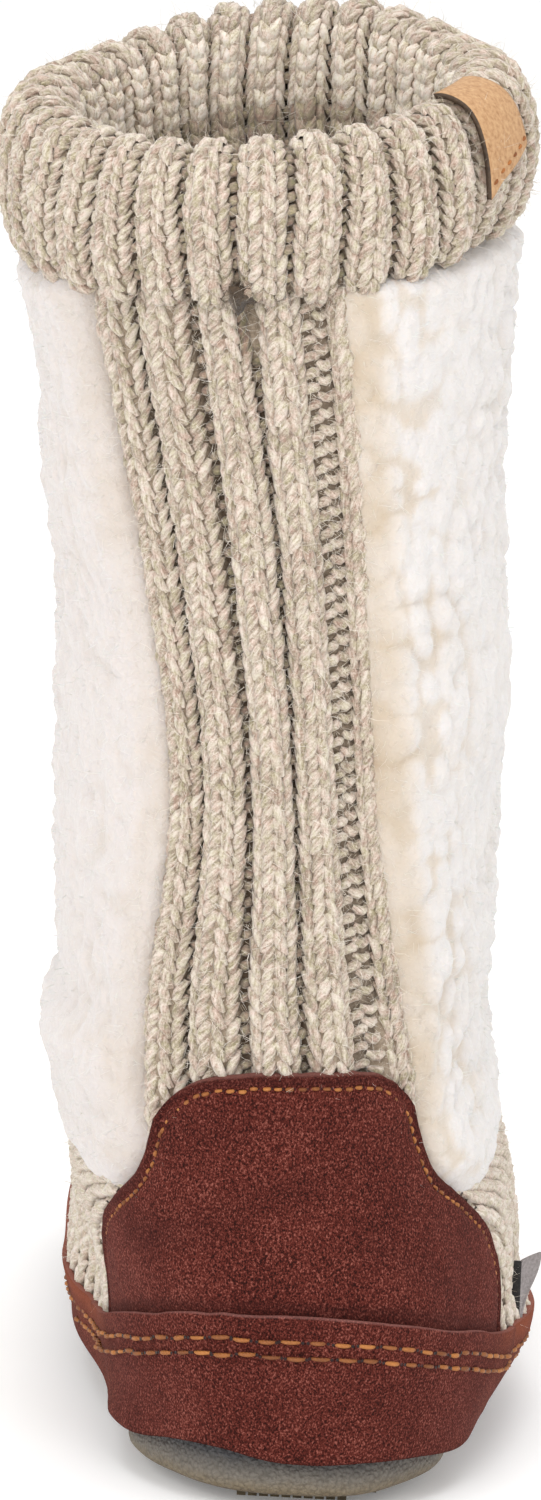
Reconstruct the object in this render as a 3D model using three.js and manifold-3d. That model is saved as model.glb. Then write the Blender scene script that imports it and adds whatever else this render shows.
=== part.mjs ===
// Bootie slipper for the right foot: a rib-knit sock body with sherpa side panels, a folded knit cuff,
// a suede heel patch and a suede sidewall wrapped round the footbed, on a rubber outsole.
// Millimetres. +Z is up, +Y points to the toe, +X to the outer side of the foot.
// The origin is on the floor, at the middle of the heel's tread.
import * as THREE from 'three';
import { mergeVertices } from 'three/addons/utils/BufferGeometryUtils.js';
import Module from 'manifold-3d';

const wasm = await Module();
wasm.setup();

// Driving dimensions
const GAP = 0.3; // clearance between neighbouring pieces
const WIDE_GAP = 0.5; // the same where their facets run differently
const AROUND = 44; // facets round a ring
const WELD = 1e-4; // points closer than this are one
const KNIT_WALL = 4; // chunky knit with its brushed lining
const SUEDE = 1.6;
const SHERPA_PILE = 5; // how far the pile stands proud of the knit
const COLLAR_HEIGHT = 260; // top edge of the sock body
const TOE_END = 224; // sock body's toe, from the heel's tread centre
const TOE_SPRING = 6; // rise of the sole at the toe's tip
const SPRING_START = 142;
const SPRING_FADE_LOW = 30; // the spring dies out over the toe box
const SPRING_FADE_HIGH = 75;
const TOE_SWING = 3; // how far the toe turns to the inner side
const SWING_START = 70;
const ARCH_CENTRE = 28;
const ARCH_SPAN = 30;
const INNER_WAIST = 4.4; // how far the waist pulls in on each side
const OUTER_WAIST = 0.5;
const WAIST_FADE_LOW = 25;
const WAIST_FADE_HIGH = 62;
// The forefoot is drawn in on each side, in full above the sidewall and by a share of it lower down.
const SLIM = { inner: 2.6, outer: 10, lowShare: 0.7, lowFrom: 40, lowFull: 112, highFrom: 10, highFull: 36 };
const SLIM_RISE_LOW = 20;
const SLIM_RISE_HIGH = 32;
const SLIM_FADE_LOW = 22;
const SLIM_FADE_HIGH = 74;
const ANKLE_HEIGHT = 70;
const COLLAR_FRONT_RISE = 4.5; // the collar's front stands this much above its middle
const COLLAR_OUTER_RISE = 4.5; // and its outer side this much

// The sock body's outside, a row for each level section from the feather edge to the collar.
// lean is the section's middle across the foot, half its half width at the widest place,
// and the powers say how full the section's front and back ends are (2 is an ellipse).
const UPPER_SECTIONS = [
  { height: 8, lean: 0, back: -33, front: 222, half: 45.5, widest: 124, frontPower: 2.3, backPower: 2.6 },
  { height: 20, lean: 0, back: -34.5, front: 224, half: 46.2, widest: 124, frontPower: 2.3, backPower: 2.6 },
  { height: 34, lean: -0.5, back: -35, front: 221, half: 45.2, widest: 114, frontPower: 2.2, backPower: 2.7 },
  { height: 44, lean: -2, back: -34.6, front: 213, half: 43.8, widest: 97, frontPower: 2.1, backPower: 2.8 },
  { height: 52, lean: -3.5, back: -34, front: 197, half: 42.2, widest: 80, frontPower: 2, backPower: 2.8 },
  { height: 60, lean: -5.2, back: -33.2, front: 166, half: 40.2, widest: 62, frontPower: 2, backPower: 2.7 },
  { height: 70, lean: -7.2, back: -32.3, front: 137, half: 38, widest: 47, frontPower: 2, backPower: 2.5 },
  { height: 82, lean: -8.7, back: -31.5, front: 116, half: 36.5, widest: 37, frontPower: 2, backPower: 2.35 },
  { height: 100, lean: -9.8, back: -31, front: 98, half: 36.2, widest: 30, frontPower: 2, backPower: 2.2 },
  { height: 125, lean: -10.6, back: -31.3, front: 86, half: 36.8, widest: 26, frontPower: 2, backPower: 2.1 },
  { height: 155, lean: -11.4, back: -32.4, front: 78, half: 37.4, widest: 22, frontPower: 2, backPower: 2 },
  { height: 185, lean: -12.8, back: -33.5, front: 73, half: 37.8, widest: 19, frontPower: 2, backPower: 2 },
  { height: 212, lean: -14.6, back: -35, front: 69.5, half: 38.8, widest: 17, frontPower: 2, backPower: 2 },
  { height: 232, lean: -16.4, back: -37.2, front: 68, half: 41.2, widest: 15, frontPower: 2, backPower: 2 },
  { height: 248, lean: -17.8, back: -38.4, front: 67, half: 43.4, widest: 14, frontPower: 2, backPower: 2 },
  { height: 268, lean: -19, back: -38, front: 66, half: 43, widest: 14, frontPower: 2, backPower: 2 },
];
const FEATHER_EDGE = 9.3; // lowest edge of the sock body, inside the sidewall
const DENSE_BELOW = 100; // sections are split in two where the foot curves into the shaft

// Top edge of the suede sidewall along the foot.
const FOXING_TOP = [
  { along: -38, height: 40.6 },
  { along: -34, height: 39.6 },
  { along: -27, height: 37.8 },
  { along: -15, height: 34 },
  { along: 2, height: 29.2 },
  { along: 24, height: 25 },
  { along: 60, height: 21.5 },
  { along: 125, height: 19.5 },
  { along: 190, height: 21 },
  { along: 226, height: 22.5 },
];
const FOXING_FOOT = 7.4; // underside of the strip, where it turns in under the footbed
const FOXING_FLANGE = 8.7; // width turned in
const FOXING_FACE = GAP + SUEDE;
const FOXING_TURN = FOXING_FOOT + SUEDE; // upper face of the part turned in

// Section of the sidewall, a row for each corner: distance out from the sock body, and a height
// that moves by its share towards the top edge.
const FOXING_SECTION = [
  { out: WIDE_GAP, height: FOXING_TURN, share: 0 },
  { out: -FOXING_FLANGE, height: FOXING_TURN, share: 0 },
  { out: -FOXING_FLANGE, height: FOXING_FOOT, share: 0 },
  { out: 0.2, height: FOXING_FOOT, share: 0 },
  { out: 1.4, height: FOXING_FOOT + 0.7, share: 0 },
  { out: FOXING_FACE, height: FOXING_TURN + 1, share: 0 },
  { out: FOXING_FACE + 0.2, height: FEATHER_EDGE, share: 0.55 },
  { out: FOXING_FACE, height: FEATHER_EDGE, share: 1 },
  { out: WIDE_GAP, height: FEATHER_EDGE, share: 1 },
  { out: WIDE_GAP, height: FEATHER_EDGE, share: 0.5 },
];

// Suede heel patch: half its width at each height, measured round the heel from its middle, and how far the
// middle lies to the outer side of the back seam.
const PATCH_HALF = [
  { height: 20, round: 62, lean: 0 },
  { height: 36, round: 61.2, lean: 0.3 },
  { height: 43, round: 58.2, lean: 1.8 },
  { height: 50, round: 52, lean: 3 },
  { height: 57, round: 41.4, lean: 4 },
  { height: 62.5, round: 32.8, lean: 3.5 },
  { height: 70, round: 28.3, lean: 4.2 },
  { height: 80, round: 25.4, lean: 4.5 },
];
const PATCH_CROWN = 84; // top edge at the back seam, and how much lower its corners are
const PATCH_CORNER_DROP = 7;
const PATCH_FOOT_GAP = 1; // over the sidewall's top edge
const PATCH_COLUMNS = 24;
const PATCH_ROWS = 9;
const PATCH_SEAM = 0.8; // room left round the patch in the pieces beside it
const WALK_STEP = 0.01; // turn taken at a time when measuring round a section

// Edges of the knit strip up the back, measured across the foot from the section's middle.
const BACK_STRIP = [
  { height: 40, inner: -25, outer: 27 },
  { height: 80, inner: -23.6, outer: 26.4 },
  { height: 98, inner: -22.6, outer: 24.2 },
  { height: 114, inner: -20.4, outer: 21.8 },
  { height: 134, inner: -18.9, outer: 19.2 },
  { height: 152, inner: -20.2, outer: 18 },
  { height: 172, inner: -23.2, outer: 17 },
  { height: 190, inner: -25.8, outer: 16.2 },
  { height: 208, inner: -29, outer: 15.3 },
  { height: 228, inner: -32, outer: 14.5 },
];
const FRONT_STRIP_HALF = 21;
const SHERPA_HEM_BACK = 55; // the panel's lower edge at the heel, and where it meets the front strip
const SHERPA_HEM_FRONT = 108;
const SHERPA_COLUMNS = 14;
const SHERPA_ROWS = 12;
const SHERPA_HEM_SWEEP = 2.4; // power by which the hem rises to the front
const SHERPA_EDGE = 1.4; // pile thickness at the panel's seams
const SHERPA_RISE = 9; // one part in this many of the panel takes the pile to its full depth

// Folded cuff, a row for each corner of its hairpin section: distance out from the sock body, and height.
const CUFF_FOOT = 234;
const CUFF_INNER_FOOT = 226;
const SHERPA_TOP = CUFF_FOOT - 2.8;
const CUFF_SECTION = [
  { out: GAP + 0.1, height: CUFF_FOOT + 1 },
  { out: 2.6, height: CUFF_FOOT - 0.8 },
  { out: 5, height: CUFF_FOOT + 1.5 },
  { out: 6, height: CUFF_FOOT + 8 },
  { out: 6.3, height: CUFF_FOOT + 16 },
  { out: 5.6, height: CUFF_FOOT + 24 },
  { out: 3, height: COLLAR_HEIGHT + 4.6 },
  { out: -2, height: COLLAR_HEIGHT + 6.4 },
  { out: -6.6, height: COLLAR_HEIGHT + 4 },
  { out: -8.8, height: COLLAR_HEIGHT - 3 },
  { out: -8.8, height: COLLAR_HEIGHT - 16 },
  { out: -8.2, height: CUFF_INNER_FOOT + 1 },
  { out: -6.2, height: CUFF_INNER_FOOT - 0.6 },
  { out: -KNIT_WALL - 0.5, height: CUFF_INNER_FOOT + 1 },
  { out: -KNIT_WALL - 0.5, height: 232 },
  { out: -KNIT_WALL - 0.5, height: 248 },
  { out: -KNIT_WALL - 0.5, height: COLLAR_HEIGHT + 0.6 },
  { out: GAP, height: COLLAR_HEIGHT + 0.6 },
  { out: GAP + 0.1, height: 248 },
];

// Leather tab folded over the cuff's rim: which corners of the cuff's section it lies on, and its place.
const TAB = { firstRow: 4, lastRow: 10, width: 18, angle: -0.45, thick: 1.5, columns: 6 };

// Loop label standing in the outer side seam.
const LABEL = { along: 34, width: 10, height: 13, thick: 0.9, lean: 3.6, turn: 0.1 };

// Footbed and outsole, a row for each ring of the section: inset from the sock body, and height.
const INSOLE_SECTION = [
  { inset: 5, height: FEATHER_EDGE + 0.2 },
  { inset: 5, height: 16.5 },
  { inset: 6.4, height: 18 },
  { inset: 16, height: 17 },
];
const OUTSOLE_SECTION = [
  { inset: 14, height: 2 },
  { inset: 9, height: 2.5 },
  { inset: 6.8, height: 4.2 },
  { inset: 6, height: FOXING_FOOT - WIDE_GAP },
  { inset: FOXING_FLANGE + WIDE_GAP, height: FOXING_FOOT - WIDE_GAP },
  { inset: FOXING_FLANGE + WIDE_GAP, height: FEATHER_EDGE - 0.1 },
];
const ARCH_LIFT = 3; // hollow of the outsole under the waist, with its middle and half length
const ARCH_LIFT_CENTRE = 49;
const ARCH_LIFT_HALF = 26;
const LUG = { inset: 15, pitch: 10, width: 6.6, top: 2.7, heelCount: 5, ballCentre: 108, ballCount: 7 };
const LUG_REACH = 70; // longer than the sole is wide

// Smooth value of a table's column, with each row's slope taken from its neighbours.
function columnAt(rows, key, column, at) {
  const last = rows.length - 1;
  const place = THREE.MathUtils.clamp(at, rows[0][key], rows[last][key]);
  let low = 0;
  while (low < last - 1 && rows[low + 1][key] <= place) low++;
  const slope = (row) => {
    const before = rows[Math.max(row - 1, 0)];
    const after = rows[Math.min(row + 1, last)];
    return (after[column] - before[column]) / (after[key] - before[key]);
  };
  const span = rows[low + 1][key] - rows[low][key];
  const u = (place - rows[low][key]) / span;
  const start = rows[low][column];
  const end = rows[low + 1][column];
  const ease = u * u * (3 - 2 * u);
  const lift = span * u * (1 - u) * (slope(low) * (1 - u) - slope(low + 1) * u);
  return start + (end - start) * ease + lift;
}

const sectionAt = (height, column) => columnAt(UPPER_SECTIONS, 'height', column, height);
const foxingTop = (along) => columnAt(FOXING_TOP, 'along', 'height', along);
const signedPower = (value, power) => Math.sign(value) * Math.abs(value) ** power;
const angleOf = (index) => (index / AROUND) * Math.PI * 2;

// Lift of the toe, full at the sole and dying out over the toe box.
function toeSpring(along, height = 0) {
  const past = Math.max(0, along - SPRING_START) / (TOE_END - SPRING_START);
  const fade = 1 - THREE.MathUtils.smoothstep(height, SPRING_FADE_LOW, SPRING_FADE_HIGH);
  return TOE_SPRING * past ** 2 * fade;
}

// How far the forefoot is drawn in on the side that a point is on.
function forefootSlim(across, along, height) {
  const { smoothstep } = THREE.MathUtils;
  const most = across > 0 ? SLIM.outer : SLIM.inner;
  const lower = SLIM.lowShare * smoothstep(along, SLIM.lowFrom, SLIM.lowFull);
  const above = smoothstep(along, SLIM.highFrom, SLIM.highFull) * smoothstep(height, SLIM_RISE_LOW, SLIM_RISE_HIGH);
  return most * (lower + (1 - SLIM.lowShare) * above) * (1 - smoothstep(height, SLIM_FADE_LOW, SLIM_FADE_HIGH));
}

// A point on the sock body's outside. The angle runs from the outer side (0) by the toe and the inner side
// to the heel (-90 degrees).
function upperPoint(angle, height) {
  const across = Math.cos(angle);
  const along = Math.sin(angle);
  const widest = sectionAt(height, 'widest');
  const power = 2 / sectionAt(height, along > 0 ? 'frontPower' : 'backPower');
  const reach = along > 0 ? sectionAt(height, 'front') - widest : widest - sectionAt(height, 'back');
  const u = signedPower(across, power);
  const v = signedPower(along, power);
  const y = widest + reach * v;
  const low = 1 - THREE.MathUtils.smoothstep(height, WAIST_FADE_LOW, WAIST_FADE_HIGH);
  const waist = Math.exp(-(((y - ARCH_CENTRE) / ARCH_SPAN) ** 2)) * low;
  const pull = across > 0 ? OUTER_WAIST : INNER_WAIST;
  const swing = Math.max(0, y - SWING_START) / (TOE_END - SWING_START);
  const middle = sectionAt(height, 'lean') - TOE_SWING * low * swing ** 2;
  const x = middle + (sectionAt(height, 'half') - pull * waist - forefootSlim(across, y, height)) * u;
  const tilt = THREE.MathUtils.smoothstep(height, ANKLE_HEIGHT, COLLAR_HEIGHT);
  const rise = toeSpring(y, height) + tilt * (COLLAR_FRONT_RISE * v + COLLAR_OUTER_RISE * u);
  return new THREE.Vector3(x, y, height + rise);
}

function upperNormal(angle, height) {
  const step = 0.01;
  const rise = 0.5;
  const round = upperPoint(angle + step, height).sub(upperPoint(angle - step, height));
  const up = upperPoint(angle, height + rise).sub(upperPoint(angle, height - rise));
  return round.cross(up).normalize();
}

// The same point moved out along the wall's own normal.
function upperOffset(angle, height, out) {
  return upperPoint(angle, height).addScaledVector(upperNormal(angle, height), out);
}

// The same point moved out level, for pieces stacked in level rings.
function levelOffset(angle, height, out) {
  const normal = upperNormal(angle, height).setZ(0).normalize();
  const wall = upperPoint(angle, height);
  const point = wall.clone().addScaledVector(normal, out);
  point.z += toeSpring(point.y, height) - toeSpring(wall.y, height);
  return point;
}

const ring = (pointAt) => Array.from({ length: AROUND }, (_, i) => pointAt(angleOf(i)));

// A closed geometry from points and triangles, turned to face out.
function closedGeometry(points, triangles) {
  const corner = (k) => points[triangles[k]];
  let volume = 0;
  for (let k = 0; k < triangles.length; k += 3) {
    volume += corner(k).dot(new THREE.Vector3().crossVectors(corner(k + 1), corner(k + 2)));
  }
  const facing = volume > 0 ? triangles : triangles.toReversed();
  const geometry = new THREE.BufferGeometry().setFromPoints(points);
  geometry.setIndex(facing);
  return geometry;
}

// Triangles of the bands between neighbouring rings that hold the same number of points.
function bands(ringCount, size, closed) {
  const triangles = [];
  const last = closed ? ringCount : ringCount - 1;
  for (let r = 0; r < last; r++) {
    const low = r * size;
    const high = ((r + 1) % ringCount) * size;
    for (let i = 0; i < size; i++) {
      const next = (i + 1) % size;
      triangles.push(low + i, low + next, high + next, low + i, high + next, high + i);
    }
  }
  return triangles;
}

// A hollow ring: its rings go up one face and down the other, and the last joins the first.
function hollowRing(rings) {
  return closedGeometry(rings.flat(), bands(rings.length, AROUND, true));
}

// A slab: its rings are stacked, and the first and last are filled by strips from side to side.
function slab(rings) {
  const triangles = bands(rings.length, AROUND, false);
  const heel = (AROUND * 3) / 4;
  const fill = (first, turned) => {
    const outer = (k) => first + ((heel + k) % AROUND);
    const inner = (k) => first + ((heel - k + AROUND) % AROUND);
    for (let k = 0; k < AROUND / 2; k++) {
      const halves = [
        [outer(k), outer(k + 1), inner(k + 1)],
        [outer(k), inner(k + 1), inner(k)],
      ];
      for (const half of halves) {
        if (new Set(half).size === 3) triangles.push(...(turned ? half.toReversed() : half));
      }
    }
  };
  fill(0, true);
  fill((rings.length - 1) * AROUND, false);
  return closedGeometry(rings.flat(), triangles);
}

// A sheet with a thickness: two grids of the same size, joined round their edges.
function sheet(columns, rows, faceAt, backAt) {
  const points = [];
  const triangles = [];
  const size = columns + 1;
  for (const pointAt of [faceAt, backAt]) {
    for (let r = 0; r <= rows; r++) {
      for (let c = 0; c <= columns; c++) points.push(pointAt(c / columns, r / rows));
    }
  }
  const back = size * (rows + 1);
  const quad = (a, b, c, d) => triangles.push(a, b, c, a, c, d);
  for (let r = 0; r < rows; r++) {
    for (let c = 0; c < columns; c++) {
      const at = r * size + c;
      quad(at, at + 1, at + size + 1, at + size);
      quad(back + at, back + at + size, back + at + size + 1, back + at + 1);
    }
  }
  const wall = (a, b) => quad(a, back + a, back + b, b);
  for (let c = 0; c < columns; c++) {
    wall(c, c + 1);
    wall(rows * size + c + 1, rows * size + c);
  }
  for (let r = 0; r < rows; r++) {
    wall((r + 1) * size, r * size);
    wall(r * size + columns, (r + 1) * size + columns);
  }
  return closedGeometry(points, triangles);
}

// Boolean solids
function toSolid(geometry) {
  const bare = geometry.clone();
  for (const name of ['normal', 'uv']) bare.deleteAttribute(name);
  const merged = mergeVertices(bare, WELD);
  const mesh = new wasm.Mesh({
    numProp: 3,
    vertProperties: merged.attributes.position.array,
    triVerts: new Uint32Array(merged.index.array),
  });
  return new wasm.Manifold(mesh);
}

function toGeometry(solid) {
  const { vertProperties, triVerts } = solid.getMesh();
  const geometry = new THREE.BufferGeometry();
  geometry.setAttribute('position', new THREE.BufferAttribute(vertProperties, 3));
  geometry.setIndex(new THREE.BufferAttribute(triVerts, 1));
  return geometry;
}

// Sock body: one hollow wall, open at the collar and underneath
function upperLevels() {
  const heights = [FEATHER_EDGE];
  const tops = UPPER_SECTIONS.map((row) => row.height).filter((height) => height > FEATHER_EDGE);
  for (const top of tops) {
    const height = Math.min(top, COLLAR_HEIGHT);
    const before = heights.at(-1);
    if (height <= DENSE_BELOW) heights.push((before + height) / 2);
    heights.push(height);
  }
  return heights;
}

function upperGeometry() {
  const levels = upperLevels();
  const outside = levels.map((height) => ring((angle) => upperPoint(angle, height)));
  const inside = levels.toReversed().map((height) => {
    return ring((angle) => {
      const point = upperOffset(angle, height, -KNIT_WALL);
      point.z = Math.max(point.z, FEATHER_EDGE);
      return point;
    });
  });
  return hollowRing([...outside, ...inside]);
}

// The solid inside a skin that lies a little outside the sock body
function formAround(out) {
  return toSolid(slab(upperLevels().map((height) => ring((angle) => upperOffset(angle, height, out)))));
}

// Suede sidewall: a strip round the footbed with its lower edge turned in
function foxingGeometry() {
  const cornerRing = (row) => ring((angle) => {
    const top = foxingTop(upperPoint(angle, FEATHER_EDGE).y);
    return levelOffset(angle, THREE.MathUtils.lerp(row.height, top, row.share), row.out);
  });
  return hollowRing(FOXING_SECTION.map(cornerRing));
}

// The angle at which a walk round a level section from the back seam has covered some length.
function angleRound(height, length) {
  const step = Math.sign(length) * WALK_STEP;
  let angle = -Math.PI / 2;
  let left = Math.abs(length);
  let here = upperPoint(angle, height);
  while (left > 0) {
    const next = upperPoint(angle + step, height);
    const stride = next.distanceTo(here);
    angle += step * Math.min(1, left / stride);
    left -= stride;
    here = next;
  }
  return angle;
}

// Heel patch between two distances from the sock body, grown at its edges to make room for it elsewhere.
function patchSheet(near, far, grow) {
  const pointAt = (out) => (u, v) => {
    const side = 2 * u - 1;
    const crown = PATCH_CROWN + grow - PATCH_CORNER_DROP * Math.abs(side) ** 3;
    const halfAt = (height) => columnAt(PATCH_HALF, 'height', 'round', height) + grow;
    const roundAt = (height) => side * halfAt(height) + columnAt(PATCH_HALF, 'height', 'lean', height);
    const lowAngle = angleRound(FOXING_TOP[0].height, roundAt(FOXING_TOP[0].height));
    const foot = foxingTop(upperPoint(lowAngle, FEATHER_EDGE).y) + PATCH_FOOT_GAP - grow;
    const height = THREE.MathUtils.lerp(foot, crown, v);
    return upperOffset(angleRound(height, roundAt(height)), height, out);
  };
  return toSolid(sheet(PATCH_COLUMNS, PATCH_ROWS, pointAt(far), pointAt(near)));
}

function heelPatchGeometry() {
  return toGeometry(patchSheet(-KNIT_WALL, FOXING_FACE, 0).subtract(formAround(GAP)));
}

// Sherpa panel: deep pile on one side of the shaft, between the back and front strips
function sherpaGeometry(side) {
  const stripEdge = (height) => columnAt(BACK_STRIP, 'height', side > 0 ? 'outer' : 'inner', height);
  const backAngle = (height) => {
    const power = sectionAt(height, 'backPower') / 2;
    return -Math.acos(signedPower(stripEdge(height) / sectionAt(height, 'half'), power));
  };
  const frontAngle = (height) => Math.acos((side * FRONT_STRIP_HALF) / sectionAt(height, 'half'));
  const pointAt = (out) => (u, v) => {
    const hem = THREE.MathUtils.lerp(SHERPA_HEM_BACK, SHERPA_HEM_FRONT, u ** SHERPA_HEM_SWEEP);
    const height = THREE.MathUtils.lerp(hem, SHERPA_TOP, v);
    const back = backAngle(height);
    const front = side > 0 ? frontAngle(height) : frontAngle(height) - Math.PI * 2;
    return upperOffset(THREE.MathUtils.lerp(back, front, u), height, out(u, v));
  };
  const pile = (u, v) => {
    const fromSeam = Math.min(1, SHERPA_RISE * Math.min(u, 1 - u, v, 1 - v));
    return GAP + THREE.MathUtils.lerp(SHERPA_EDGE, SHERPA_PILE, Math.sqrt(fromSeam));
  };
  const panel = sheet(SHERPA_COLUMNS, SHERPA_ROWS, pointAt(pile), pointAt(() => -KNIT_WALL));
  const patchRoom = patchSheet(-KNIT_WALL * 2, SHERPA_PILE * 3, PATCH_SEAM);
  return toGeometry(toSolid(panel).subtract(formAround(GAP)).subtract(patchRoom));
}

// Folded cuff over the collar
function cuffGeometry() {
  return hollowRing(CUFF_SECTION.map((row) => ring((angle) => levelOffset(angle, row.height, row.out))));
}

// Leather tab lying on the cuff, from its outer face over the rim
function tabGeometry() {
  const rows = CUFF_SECTION.slice(TAB.firstRow, TAB.lastRow + 1);
  const halfAngle = TAB.width / 2 / sectionAt(COLLAR_HEIGHT, 'half');
  const facing = rows.map((row, i) => {
    const before = rows[Math.max(i - 1, 0)];
    const after = rows[Math.min(i + 1, rows.length - 1)];
    return new THREE.Vector2(after.height - before.height, before.out - after.out).normalize();
  });
  const pointAt = (lift) => (u, v) => {
    const i = Math.round(v * (rows.length - 1));
    const angle = TAB.angle + THREE.MathUtils.lerp(-halfAngle, halfAngle, u);
    const point = levelOffset(angle, rows[i].height, rows[i].out + facing[i].x * lift);
    point.z += facing[i].y * lift;
    return point;
  };
  return sheet(TAB.columns, rows.length - 1, pointAt(GAP + TAB.thick), pointAt(GAP));
}

// Loop label: a folded strip standing out of the side seam
function labelGeometry() {
  const { height, lean, thick } = LABEL;
  const leaf = (t) => new THREE.Vector2(lean * t * t, height * t);
  const steps = [0, 0.35, 0.7, 1];
  const outer = steps.map((t) => leaf(t).add(new THREE.Vector2(thick, 0)));
  const inner = steps.toReversed().map(leaf);
  const shape = new THREE.Shape([...outer, ...inner]);
  return new THREE.ExtrudeGeometry(shape, { depth: LABEL.width, bevelEnabled: false }).rotateX(Math.PI / 2);
}

function labelPlace() {
  const seam = foxingTop(LABEL.along) + WIDE_GAP;
  let angle = -Math.PI / 2;
  while (upperPoint(angle, seam).y < LABEL.along) angle += WALK_STEP / 2;
  const place = levelOffset(angle, seam + 1, WIDE_GAP + GAP);
  place.z = seam;
  return place;
}

// Footbed and outsole
function insetRing({ inset, height }, lift = () => 0) {
  return ring((angle) => {
    const point = levelOffset(angle, FEATHER_EDGE, -inset);
    point.z = height + toeSpring(point.y) + lift(point.y);
    return point;
  });
}

const archLift = (along) => ARCH_LIFT * Math.max(0, 1 - ((along - ARCH_LIFT_CENTRE) / ARCH_LIFT_HALF) ** 2);

function insoleGeometry() {
  return slab(INSOLE_SECTION.map((row) => insetRing(row)));
}

function outsoleGeometry() {
  const body = slab(OUTSOLE_SECTION.map((row, i) => insetRing(row, i < 2 ? archLift : undefined)));
  const edge = insetRing({ inset: LUG.inset, height: 0 });
  const outline = new THREE.Shape(edge.map((point) => new THREE.Vector2(point.x, point.y)));
  const pad = new THREE.ExtrudeGeometry(outline, { depth: LUG.top, bevelEnabled: false });
  const rowsOf = (centre, count) => {
    return Array.from({ length: count }, (_, i) => centre + (i - (count - 1) / 2) * LUG.pitch);
  };
  let sole = toSolid(body);
  for (const along of [...rowsOf(0, LUG.heelCount), ...rowsOf(LUG.ballCentre, LUG.ballCount)]) {
    const bar = new THREE.BoxGeometry(LUG_REACH * 2, LUG.width, LUG.top * 4).translate(0, along, 0);
    sole = sole.add(toSolid(bar).intersect(toSolid(pad)));
  }
  return toGeometry(sole);
}

// Finishes
const FINISHES = {
  knit: { color: 0xc9bfb0, roughness: 0.95 },
  sherpa: { color: 0xf3ece1, roughness: 1 },
  suede: { color: 0x6b2f2a, roughness: 0.9 },
  rubber: { color: 0x7b7871, roughness: 0.7 },
  fleece: { color: 0xe6ddcf, roughness: 1 },
  leather: { color: 0xc59a6a, roughness: 0.65 },
  label: { color: 0x5b5a5c, roughness: 0.8 },
};

function piece(name, finish, geometry) {
  const material = new THREE.MeshStandardMaterial({ ...FINISHES[finish], metalness: 0 });
  const mesh = new THREE.Mesh(geometry, material);
  mesh.name = name;
  return mesh;
}

const bootie = new THREE.Group();
bootie.add(
  piece('outsole', 'rubber', outsoleGeometry()),
  piece('insole', 'fleece', insoleGeometry()),
  piece('foxing', 'suede', foxingGeometry()),
  piece('upper', 'knit', upperGeometry()),
  piece('sherpa_panel_inner', 'sherpa', sherpaGeometry(-1)),
  piece('sherpa_panel_outer', 'sherpa', sherpaGeometry(1)),
  piece('heel_patch', 'suede', heelPatchGeometry()),
  piece('cuff', 'knit', cuffGeometry()),
  piece('cuff_tab', 'leather', tabGeometry()),
);
const label = piece('side_label', 'label', labelGeometry());
label.position.copy(labelPlace()).setY(LABEL.along + LABEL.width / 2);
label.rotation.z = LABEL.turn;
bootie.add(label);

export default bootie;
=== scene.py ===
import math

import bpy
import numpy as np
from mathutils import Matrix, Vector


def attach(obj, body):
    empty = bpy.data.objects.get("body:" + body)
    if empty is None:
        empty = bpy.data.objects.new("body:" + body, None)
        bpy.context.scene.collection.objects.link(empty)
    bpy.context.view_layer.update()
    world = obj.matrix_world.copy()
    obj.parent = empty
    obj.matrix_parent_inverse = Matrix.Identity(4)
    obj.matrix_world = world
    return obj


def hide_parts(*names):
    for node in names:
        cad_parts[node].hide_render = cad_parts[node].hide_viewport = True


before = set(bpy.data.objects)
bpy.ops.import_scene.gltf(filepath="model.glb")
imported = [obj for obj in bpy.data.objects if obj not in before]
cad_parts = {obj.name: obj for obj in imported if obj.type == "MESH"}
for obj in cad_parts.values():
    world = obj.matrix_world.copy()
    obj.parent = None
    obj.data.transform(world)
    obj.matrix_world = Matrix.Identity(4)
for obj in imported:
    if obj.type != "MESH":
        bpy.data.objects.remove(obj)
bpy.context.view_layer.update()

MM = 0.001
QUARTER = math.pi / 2

# Sizes of the sock body
SECTION_COLUMNS = ("height", "lean", "back", "front", "half", "widest", "front_power", "back_power")
SECTION_ROWS = (
    (8, 0, -33, 222, 45.5, 124, 2.3, 2.6),
    (20, 0, -34.5, 224, 46.2, 124, 2.3, 2.6),
    (34, -0.5, -35, 221, 45.2, 114, 2.2, 2.7),
    (44, -2, -34.6, 213, 43.8, 97, 2.1, 2.8),
    (52, -3.5, -34, 197, 42.2, 80, 2, 2.8),
    (60, -5.2, -33.2, 166, 40.2, 62, 2, 2.7),
    (70, -7.2, -32.3, 137, 38, 47, 2, 2.5),
    (82, -8.7, -31.5, 116, 36.5, 37, 2, 2.35),
    (100, -9.8, -31, 98, 36.2, 30, 2, 2.2),
    (125, -10.6, -31.3, 86, 36.8, 26, 2, 2.1),
    (155, -11.4, -32.4, 78, 37.4, 22, 2, 2),
    (185, -12.8, -33.5, 73, 37.8, 19, 2, 2),
    (212, -14.6, -35, 69.5, 38.8, 17, 2, 2),
    (232, -16.4, -37.2, 68, 41.2, 15, 2, 2),
    (248, -17.8, -38.4, 67, 43.4, 14, 2, 2),
    (268, -19, -38, 66, 43, 14, 2, 2),
)
KNIT_WALL = 4
COLLAR_HEIGHT = 260
TOE_END = 224
TOE_SPRING = 6
SPRING_START = 142
SPRING_FADE = (30, 75)
TOE_SWING = 3
SWING_START = 70
ARCH_CENTRE = 28
ARCH_SPAN = 30
INNER_WAIST = 4.4
OUTER_WAIST = 0.5
WAIST_FADE = (25, 62)
INNER_SLIM = 2.6  # how far the forefoot is drawn in above the sidewall
OUTER_SLIM = 10
SLIM_LOW = 0.7  # the share of it that reaches down the sidewall
SLIM_ALONG = (40, 112)
SLIM_HIGH_ALONG = (10, 36)
SLIM_RISE = (20, 32)
SLIM_FADE = (22, 74)
ANKLE_HEIGHT = 70
COLLAR_FRONT_RISE = 4.5
COLLAR_OUTER_RISE = 4.5
FEATHER_EDGE = 9.3
UPPER_GRID = (112, 112)
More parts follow.
